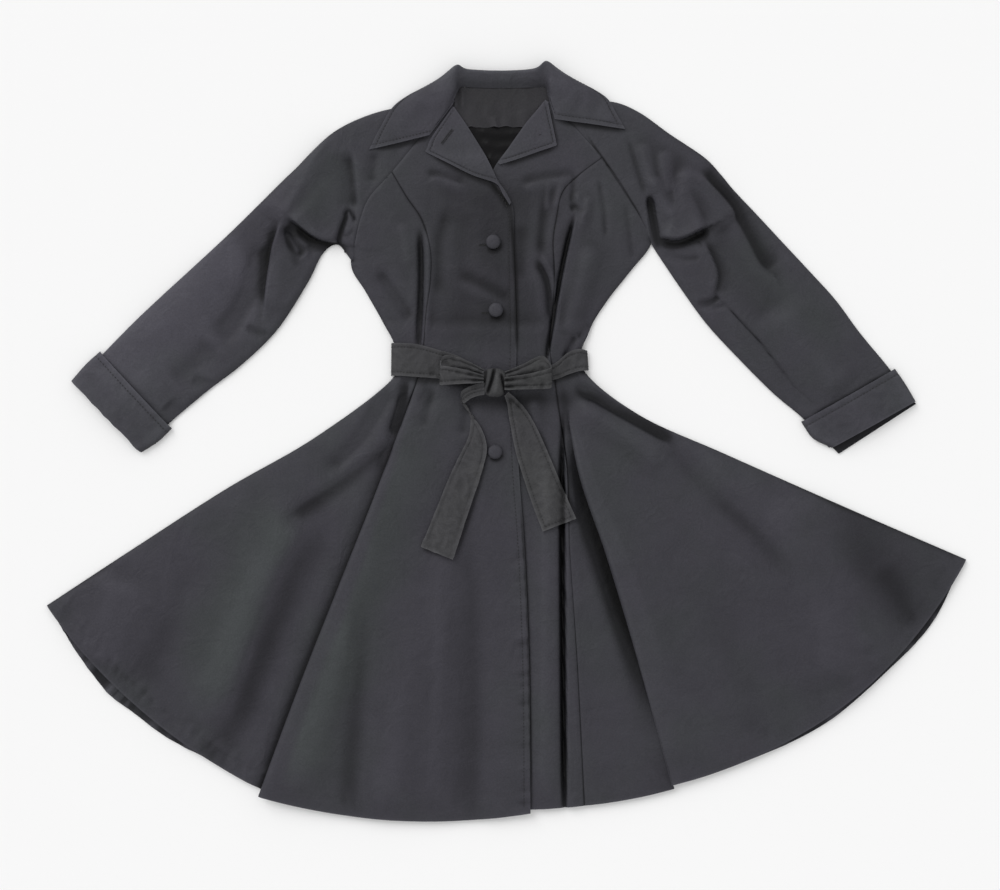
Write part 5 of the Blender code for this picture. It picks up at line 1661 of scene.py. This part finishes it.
STRIP_CELL, STRIP_COLUMNS, BRIDGE_CELLS, STRIP_CLEAR = 2.6, 18, 7, 2.1
BELT_CREASE, BELT_CREASE_HEIGHT, BELT_CREASE_SEED = 17, 3.4, 11
BELT_BACK_STEPS, BELT_BACK_COLUMNS = 30, 12


def strip_grid(table, lift, ground):
    """A belt strip laid over the ground, lifted as its table says."""
    steps = steps_for([column(table, "first"), column(table, "second")], STRIP_CELL)
    first, second = (smooth(column(table, name), steps) for name in ("first", "second"))
    rise = smooth([[row.rise] for row in table], steps)
    plan = span(first, second, STRIP_COLUMNS, None, (True, True))
    level = ground(plan[..., 0], plan[..., 1])
    bridged = level
    for axis in (0, 1):
        bridged = averaged(bridged, BRIDGE_CELLS, axis)
    height = np.maximum(bridged + lift, level + STRIP_CLEAR) + rise
    return np.concatenate([plan, height[..., None]], -1)


for side, table in (("right", BELT_RIGHT), ("left", BELT_LEFT)):
    grid = strip_grid(table, BELT_LIFT, belt_ground)
    grid[..., 2] += crumple(grid, BELT_CREASE, BELT_CREASE_HEIGHT, BELT_CREASE_SEED)
    grid = press(grid, ["first", "last"], BELT_STITCH, BELT_CHANNEL_DEPTH, CHANNEL_WIDTH)
    name = "belt_" + side
    shell(name, grid, BELT_CLOTH, BELT_TWILL, rests_on=["front_" + side + "_cloth"])
    for edge in ("first", "last"):
        STITCHES.append(StitchRow(name + "_" + edge, line_beside(grid, edge, BELT_STITCH), BELT_SEWING))

edges = [smooth(column(BELT_BACK, name), BELT_BACK_STEPS) for name in ("first", "second")]
grid = laid(span(*edges, BELT_BACK_COLUMNS), CLOTH)
shell("belt_back", grid, CLOTH, BELT_TWILL)
print("belt stitched at", BELT_STITCH, "mm")

# %% [markdown]
# Two tails hang from the knot over the skirt. The right one turns over once below the knot, so its two
# lines cross in the table.

# %% Belt tails
TAIL_RIGHT = [
    Strip((-32, 88), (-33, 70), 11),
    Strip((-46, 85), (-43, 68), 10),
    Strip((-59, 80.5), (-53, 64.5), 8.5),
    Strip((-68, 73), (-63.5, 57.5), 6),
    Strip((-66, 58), (-67, 62), 2.5),
    Strip((-61, 49.5), (-58, 52), 1.2),
    Strip((-50, 37), (-54, 40), 1.6),
    Strip((-39, 22), (-54, 22), 0.8),
    Strip((-31, 3), (-58, 4), 0.2),
    Strip((-30, -18), (-69, -18), 0),
    Strip((-40, -55), (-86, -54), 0),
    Strip((-60, -115), (-107, -106), 0),
    Strip((-80, -176), (-128, -157), 0),
]
TAIL_LEFT = [
    Strip((-3, 68), (3, 74), 9),
    Strip((1, 56), (14, 64), 5),
    Strip((3, 40), (29, 48), 2),
    Strip((6, 24), (44, 23), 0.6),
    Strip((15, -20), (61, -14), 0),
    Strip((36, -86), (84, -69), 0),
    Strip((54, -134), (104, -115), 0),
]
TAIL_LIFT, TAIL_LIGHT, TAIL_RAISE = 3.4, -0.25, 0.5
TAIL_CREASE, TAIL_CREASE_HEIGHT, TAIL_CREASE_SEED, TAIL_KNOT_TRIM = 15, 2.6, 23, 14
TAIL_TRIMS = {
    "first": (TAIL_KNOT_TRIM, BELT_STITCH),
    "last": (TAIL_KNOT_TRIM, BELT_STITCH),
    "end": (BELT_STITCH, BELT_STITCH),
}

for side, table in (("right", TAIL_RIGHT), ("left", TAIL_LEFT)):
    grid = strip_grid(table, TAIL_LIFT, front_top)
    grid[..., 2] += crumple(grid, TAIL_CREASE, TAIL_CREASE_HEIGHT, TAIL_CREASE_SEED) + TAIL_RAISE
    grid = press(grid, ["first", "last", "end"], BELT_STITCH, BELT_CHANNEL_DEPTH, CHANNEL_WIDTH)
    name = "tail_" + side
    rests_on = ["front_" + side + "_cloth"]
    # painted light on the tail
    shell(name, grid, BELT_CLOTH, BELT_TWILL, rests_on=rests_on, shade=TAIL_LIGHT)
    for edge, trim in TAIL_TRIMS.items():
        line = line_beside(grid, edge, BELT_STITCH, trim)
        STITCHES.append(StitchRow(name + "_" + edge, line, BELT_SEWING))
print("rows of stitches so far:", len(STITCHES))

# %% [markdown]
# Each bow loop goes out from the knot, turns and comes back below itself. The knot gathers its cloth, so
# pleats run out of it and fade. They are a cosine across the loop, over the same small creases.

# %% Bow loops
BOW_RIGHT = [
    Strip((-34, 98), (-34, 88), 14),
    Strip((-64, 107), (-64, 86), 13),
    Strip((-88, 112), (-90, 84.5), 11),
    Strip((-97.5, 113), (-98.5, 84.5), 8.5),
    Strip((-99, 116), (-99.5, 87), 6),
    Strip((-96.5, 124), (-95, 96), 4.4),
    Strip((-88, 129), (-84, 103), 3.4),
    Strip((-62, 122), (-60, 103), 2.6),
    Strip((-34, 108), (-34, 97), 3),
]
BOW_LEFT = [
    Strip((-3, 95), (-3, 77), 14),
    Strip((28, 100), (28, 77.5), 13),
    Strip((54, 106), (55, 78.5), 11),
    Strip((65, 109), (65, 79.5), 8.5),
    Strip((67, 112), (67, 84), 6),
    Strip((62, 121), (61, 92), 4.4),
    Strip((51, 128), (48, 98), 3.4),
    Strip((25, 116), (25, 94), 2.6),
    Strip((-3, 104), (-3, 90), 3),
]
KNOT_CENTRE, KNOT_SIZE = (-18, 88), (38, 43, 20)
BOW_LIFT, PLEATS, PLEAT_HEIGHT, PLEAT_REACH = 5.2, 2.0, 2.0, 26.0
BOW_CREASE, BOW_CREASE_HEIGHT, BOW_CREASE_SEED, BOW_STITCH_TRIM = 12, 3.8, 41, (8, 3)

for side, table in (("right", BOW_RIGHT), ("left", BOW_LEFT)):
    grid = strip_grid(table, 0, lambda x, y: np.zeros_like(x))
    level = front_top(grid[..., 0], grid[..., 1]).max() + BOW_LIFT
    across_loop = edge_distances(grid)["first"] / edge_distances(grid)["first"][:, -1:]
    from_knot = np.abs(grid[..., 0] - KNOT_CENTRE[0]) - KNOT_SIZE[0] / 2
    pleat = np.cos(2 * np.pi * PLEATS * across_loop) * np.exp(-np.maximum(from_knot, 0) / PLEAT_REACH)
    creases = crumple(grid, BOW_CREASE, BOW_CREASE_HEIGHT, BOW_CREASE_SEED)
    grid[..., 2] += level + PLEAT_HEIGHT * pleat + creases
    grid = press(grid, ["first", "last"], BELT_STITCH, CHANNEL_DEPTH, CHANNEL_WIDTH)
    name = "bow_loop_" + side
    shell(name, grid, BELT_CLOTH, BELT_TWILL, rests_on=["belt_" + side + "_cloth"])
    for edge in ("first", "last"):
        line = line_beside(grid[: len(grid) // 2], edge, BELT_STITCH, BOW_STITCH_TRIM)
        STITCHES.append(StitchRow(name + "_" + edge, line, BELT_SEWING))
print("rows of stitches so far:", len(STITCHES))

# %% [markdown]
# The knot is the belt's cloth wrapped round itself. What is inside doesn't show, so it is a rounded
# block: a sphere pushed out towards its box, with the edges of the wrapped cloth as folds on its top.

# %% Knot
KNOT_POWER, KNOT_GAP, KNOT_SEGMENTS, KNOT_RINGS = 2.6, 0.1, 96, 64
KNOT_SHADE_DEPTH, KNOT_TOP_POWER = -3, 0.5
KNOT_FOLDS = [
    Fold((-17, 114), (-21, 94), (-29, 70), 2.5, 2.5, -5),
    Fold((-9, 104), (-5, 88), (-1, 68), 2.2, 2.2, -4),
    Fold((-30, 110), (-33, 92), (-37, 74), 2.5, 2.5, -4),
    Fold((-14, 104), (-14, 88), (-18, 70), 4, 4, 2),
]
made = bmesh.new()
bmesh.ops.create_uvsphere(made, u_segments=KNOT_SEGMENTS, v_segments=KNOT_RINGS, radius=1)
points = np.array([vertex.co for vertex in made.verts])
faces = [[vertex.index for vertex in face.verts] for face in made.faces]
made.free()
points /= (np.abs(points) ** KNOT_POWER).sum(1, keepdims=True) ** (1 / KNOT_POWER)
ground = front_top(*np.array([KNOT_CENTRE], float).T).max() + KNOT_GAP
placed = np.array([*KNOT_CENTRE, ground + KNOT_SIZE[2] / 2]) + points * np.array(KNOT_SIZE) / 2
wrapped = folds_at(KNOT_FOLDS, placed[:, 0], placed[:, 1])
placed[:, 2] += wrapped * np.maximum(points[:, 2], 0) ** KNOT_TOP_POWER
mesh = bpy.data.meshes.new("belt_knot_cloth")
mesh.from_pydata((placed * MM).tolist(), [], faces)
# painted shade in the knot's folds and painted light on its ridge
dress(mesh, points[:, :2] * 0.5 * np.array(KNOT_SIZE[:2]) * MM, wrapped / KNOT_SHADE_DEPTH)
finish_piece("belt_knot", mesh, BELT_TWILL)
print("knot stands on", round(float(ground), 1), "mm")

# %% [markdown]
# ## Buttons
# Each button is a metal dome covered with the coat's cloth, which is gathered below its rim. It is turned
# from a profile of rings, as on a lathe. A Screw modifier would turn it too, but the rings can also be
# gathered. Its buttonhole runs to the viewer's left, worked with close stitches across both edges.

# %% Buttons and buttonholes
BUTTONS = {"button_top": (-20, 299), "button_middle": (-16, 197), "button_low": (-17, -15)}
BUTTON_DIAMETER, BUTTON_HEIGHT = 22.0, 7.0
Ring = namedtuple("Ring", "reach height")
BUTTON_RINGS = [
    Ring(0.0, 0.0), Ring(0.9, 0.0), Ring(0.97, 0.12), Ring(1.0, 0.3), Ring(0.97, 0.5), Ring(0.9, 0.66),
    Ring(0.8, 0.76), Ring(0.7, 0.86), Ring(0.52, 0.93), Ring(0.35, 0.97), Ring(0.15, 0.995), Ring(0.0, 1.0),
]
BUTTON_SIDES, STACK_GAP, GATHER, GATHERS, GATHER_POWER, GATHER_TOP = 48, 0.9, 0.02, 9, 0.5, 0.5
RIM_SHADE, TOP_LIGHT, BUTTON_PALEST = 0.9, 1.6, -0.3
HOLE_LENGTH, HOLE_START, HOLE_DROP, HOLE_HALF, HOLE_POINTS, HOLE_LIFT = 21.0, 9.0, 4.5, 0.9, 20, 0.25
BUTTONHOLE_SEWING = Sewing(0.7, 1.6, 0.6, 90)


def button_points(x, y):
    """Points of a button, ring by ring, from the middle of its underside to its top, and its level."""
    turns = np.linspace(0, 2 * np.pi, BUTTON_SIDES, endpoint=False)
    round_x, round_y = BUTTON_DIAMETER / 2 * np.cos(turns), BUTTON_DIAMETER / 2 * np.sin(turns)
    level = front_top(np.append(x + round_x, x), np.append(y + round_y, y)).max() + STACK_GAP
    gather = 1 - GATHER * np.abs(np.sin(turns * GATHERS + x)) ** GATHER_POWER
    points = [(x, y, level)]
    for ring in BUTTON_RINGS[1:-1]:
        reach = ring.reach * (gather if ring.height < GATHER_TOP else 1)
        height = np.full(BUTTON_SIDES, level + ring.height * BUTTON_HEIGHT)
        points.extend(zip(x + reach * round_x, y + reach * round_y, height))
    return np.array(points + [(x, y, level + BUTTON_HEIGHT)]), level


def button_faces():
    """Faces between the rings of a button, closed by fans below and above."""
    faces, last_ring = [], 1 + (len(BUTTON_RINGS) - 3) * BUTTON_SIDES
    for k in range(BUTTON_SIDES):
        after = (k + 1) % BUTTON_SIDES
        faces.append([0, 1 + after, 1 + k])
        for low_ring in range(1, last_ring, BUTTON_SIDES):
            up_ring = low_ring + BUTTON_SIDES
            faces.append([low_ring + k, low_ring + after, up_ring + after, up_ring + k])
        faces.append([last_ring + k, last_ring + after, last_ring + BUTTON_SIDES])
    return faces


for name, (x, y) in BUTTONS.items():
    points, level = button_points(x, y)
    mesh = bpy.data.meshes.new(name + "_cloth")
    mesh.from_pydata((points * MM).tolist(), [], button_faces())
    # painted shade at the button's rim and painted light on its top
    shade = np.clip(RIM_SHADE - TOP_LIGHT * (points[:, 2] - level) / BUTTON_HEIGHT, BUTTON_PALEST, 1)
    dress(mesh, points[:, :2] * MM, shade)
    finish_piece(name, mesh, TWILL)
    for edge, turn in (("low", -1), ("high", 1)):
        hole_x = np.linspace(x - HOLE_START, x - HOLE_LENGTH, HOLE_POINTS)
        hole_y = np.full(HOLE_POINTS, y - HOLE_DROP + turn * HOLE_HALF)
        hole = np.stack([hole_x, hole_y, front_top(hole_x, hole_y) + HOLE_LIFT], -1)
        STITCHES.append(StitchRow(name + "_hole_" + edge, hole, BUTTONHOLE_SEWING))
    print(name, "lies at", round(float(level), 1), "mm")

# %% [markdown]
# ## Sewing
# A sewing machine sets down one stitch after another along a line. Geometry Nodes do the same: the tree
# walks along a line, puts a drop of thread at each step, turns it a little by a random angle and makes
# all of them real. An array along a curve would bend each stitch, and it could not turn them across a
# buttonhole.

# %% Stitch tree
STITCH_SEGMENTS, STITCH_RINGS, STITCH_TURN, STITCH_SEED = 8, 5, 0.09, 4


def stitch_tree():
    """A node tree that turns a line into a row of stitches."""
    tree = bpy.data.node_groups.new("stitch_row", "GeometryNodeTree")
    face = tree.interface
    face.new_socket("Line", in_out="INPUT", socket_type="NodeSocketGeometry")
    for name in ("Spacing", "Length", "Thickness", "Turn"):
        face.new_socket(name, in_out="INPUT", socket_type="NodeSocketFloat")
    face.new_socket("Thread", in_out="INPUT", socket_type="NodeSocketMaterial")
    face.new_socket("Stitches", in_out="OUTPUT", socket_type="NodeSocketGeometry")
    node, link = tree.nodes.new, tree.links.new
    given, out = node("NodeGroupInput"), node("NodeGroupOutput")
    curve, steps = node("GeometryNodeMeshToCurve"), node("GeometryNodeResampleCurve")
    steps.mode = "LENGTH"
    link(given.outputs["Line"], curve.inputs["Mesh"])
    link(curve.outputs["Curve"], steps.inputs["Curve"])
    link(given.outputs["Spacing"], steps.inputs["Length"])
    ball, size = node("GeometryNodeMeshUVSphere"), node("ShaderNodeCombineXYZ")
    shape = node("GeometryNodeTransform")
    ball.inputs["Segments"].default_value = STITCH_SEGMENTS
    ball.inputs["Rings"].default_value = STITCH_RINGS
    ball.inputs["Radius"].default_value = 0.5
    link(given.outputs["Length"], size.inputs["X"])
    link(given.outputs["Thickness"], size.inputs["Y"])
    link(given.outputs["Thickness"], size.inputs["Z"])
    link(ball.outputs["Mesh"], shape.inputs["Geometry"])
    link(size.outputs["Vector"], shape.inputs["Scale"])
    along, aligned = node("GeometryNodeInputTangent"), node("FunctionNodeAlignRotationToVector")
    aligned.axis = "X"
    link(along.outputs["Tangent"], aligned.inputs["Vector"])
    jitter, degrees = node("FunctionNodeRandomValue"), node("ShaderNodeMath")
    angle = node("ShaderNodeCombineXYZ")
    jitter.inputs[2].default_value = -STITCH_TURN
    jitter.inputs[3].default_value = STITCH_TURN
    jitter.inputs["Seed"].default_value = STITCH_SEED
    degrees.operation = "MULTIPLY_ADD"
    degrees.inputs[1].default_value = np.pi / 180
    link(given.outputs["Turn"], degrees.inputs[0])
    link(jitter.outputs[1], degrees.inputs[2])
    link(degrees.outputs[0], angle.inputs["Z"])
    turned = node("FunctionNodeRotateRotation")
    turned.rotation_space = "LOCAL"
    euler = node("FunctionNodeEulerToRotation")
    link(angle.outputs["Vector"], euler.inputs["Euler"])
    link(aligned.outputs["Rotation"], turned.inputs["Rotation"])
    link(euler.outputs["Rotation"], turned.inputs["Rotate By"])
    set_down, real = node("GeometryNodeInstanceOnPoints"), node("GeometryNodeRealizeInstances")
    thread = node("GeometryNodeSetMaterial")
    link(steps.outputs["Curve"], set_down.inputs["Points"])
    link(shape.outputs["Geometry"], set_down.inputs["Instance"])
    link(turned.outputs["Rotation"], set_down.inputs["Rotation"])
    link(set_down.outputs["Instances"], real.inputs["Geometry"])
    link(real.outputs["Geometry"], thread.inputs["Geometry"])
    link(given.outputs["Thread"], thread.inputs["Material"])
    link(thread.outputs["Geometry"], out.inputs["Stitches"])
    return tree


STITCH_TREE = stitch_tree()
print("inputs of the tree:", [item.name for item in STITCH_TREE.interface.items_tree])

# %% Sew every row


def sew(row):
    """A row of stitches as a mesh of its own."""
    path = bpy.data.meshes.new(row.name + "_path")
    path.from_pydata((row.line * MM).tolist(), [(k, k + 1) for k in range(len(row.line) - 1)], [])
    holder = bpy.data.objects.new(row.name + "_path", path)
    bpy.context.scene.collection.objects.link(holder)
    maker = holder.modifiers.new("stitches", "NODES")
    maker.node_group = STITCH_TREE
    sewing = row.sewing
    values = {
        "Spacing": sewing.spacing * MM, "Length": sewing.length * MM, "Thickness": sewing.thickness * MM,
        "Turn": sewing.turn, "Thread": THREAD,
    }
    for socket in STITCH_TREE.interface.items_tree:
        if socket.in_out == "INPUT" and socket.name in values:
            maker[socket.identifier] = values[socket.name]
    graph = bpy.context.evaluated_depsgraph_get()
    mesh = bpy.data.meshes.new_from_object(holder.evaluated_get(graph))
    bpy.data.objects.remove(holder)
    made = bpy.data.objects.new(row.name + "_stitches", mesh)
    bpy.context.scene.collection.objects.link(made)
    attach(made, "root")
    return made


sewn = [sew(row) for row in STITCHES]
print("stitches:", sum(len(piece.data.polygons) for piece in sewn), "faces in", len(sewn), "rows")

# %% [markdown]
# ## Stage, light and camera
# The coat lies on a pale floor under an even, bright sky. An area light would shade one side, so a white
# world and one soft sun do the work. The camera looks straight down from the height at which one pixel is
# 1.5 mm on the cloth. The Standard view keeps the greys as they are, where a filmic one would lighten
# them.

# %% Floor and sky
FLOOR_HALF, FLOOR_LEVEL, FLOOR_COLOUR, FLOOR_ROUGHNESS = 4, -0.0006, (0.88, 0.88, 0.88, 1), 0.9
FLOOR_CORNERS = (-1, -1), (1, -1), (1, 1), (-1, 1)
WORLD_COLOUR, WORLD_STRENGTH = (1, 1, 1, 1), 0.79
SKY_FROM, SKY_ANGLE, SKY_STRENGTH = (-1.4, 1.6, 1.5), 40.0, 1.5

floor_mesh = bpy.data.meshes.new("floor")
floor_corners = [(x * FLOOR_HALF, y * FLOOR_HALF, FLOOR_LEVEL) for x, y in FLOOR_CORNERS]
floor_mesh.from_pydata(floor_corners, [], [(0, 1, 2, 3)])
floor = bpy.data.objects.new("floor", floor_mesh)
bpy.context.scene.collection.objects.link(floor)
pale = bpy.data.materials.new("pale_floor")
pale.use_nodes = True
pale.node_tree.nodes["Principled BSDF"].inputs["Base Color"].default_value = FLOOR_COLOUR
pale.node_tree.nodes["Principled BSDF"].inputs["Roughness"].default_value = FLOOR_ROUGHNESS
floor_mesh.materials.append(pale)
floor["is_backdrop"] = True

world = bpy.data.worlds.new("studio")
world.use_nodes = True
world.node_tree.nodes["Background"].inputs["Color"].default_value = WORLD_COLOUR
world.node_tree.nodes["Background"].inputs["Strength"].default_value = WORLD_STRENGTH
bpy.context.scene.world = world
bpy.context.scene.view_settings.view_transform = "Standard"
sky = bpy.data.lights.new("bright_sky", "SUN")
sky.energy, sky.angle = SKY_STRENGTH, np.radians(SKY_ANGLE)
sky_object = bpy.data.objects.new("bright_sky", sky)
sky_object.rotation_euler = Vector(SKY_FROM).to_track_quat("Z", "Y").to_euler()
bpy.context.scene.collection.objects.link(sky_object)
print("sun:", SKY_STRENGTH, "world:", WORLD_STRENGTH)

# %% Camera
PIXEL, SENSOR_WIDTH = 0.0015, 36.0
PHOTO_WIDTH, PHOTO_CENTRE, CAMERA_HEIGHT, CLOTH_LEVEL = 1000, (-0.00975, -0.0049), 2.4, 0.008

camera = bpy.data.cameras.new("photo_camera")
camera.sensor_width = SENSOR_WIDTH
camera.lens = camera.sensor_width * CAMERA_HEIGHT / (PHOTO_WIDTH * PIXEL)
camera_object = bpy.data.objects.new("photo_camera", camera)
camera_object.location = (*PHOTO_CENTRE, CAMERA_HEIGHT + CLOTH_LEVEL)
bpy.context.scene.collection.objects.link(camera_object)
bpy.context.scene.camera = camera_object
print("camera lens:", round(camera.lens, 2), "mm")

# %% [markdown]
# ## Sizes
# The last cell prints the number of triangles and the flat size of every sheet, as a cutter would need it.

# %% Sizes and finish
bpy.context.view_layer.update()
print("triangles:", sum(sum(len(face.vertices) - 2 for face in piece.data.polygons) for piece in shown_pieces()))
for name, width, length, area in SHEETS:
    print(f"{name}: {width * 1000:.0f} x {length * 1000:.0f} mm, {area * 1e4:.0f} cm2")
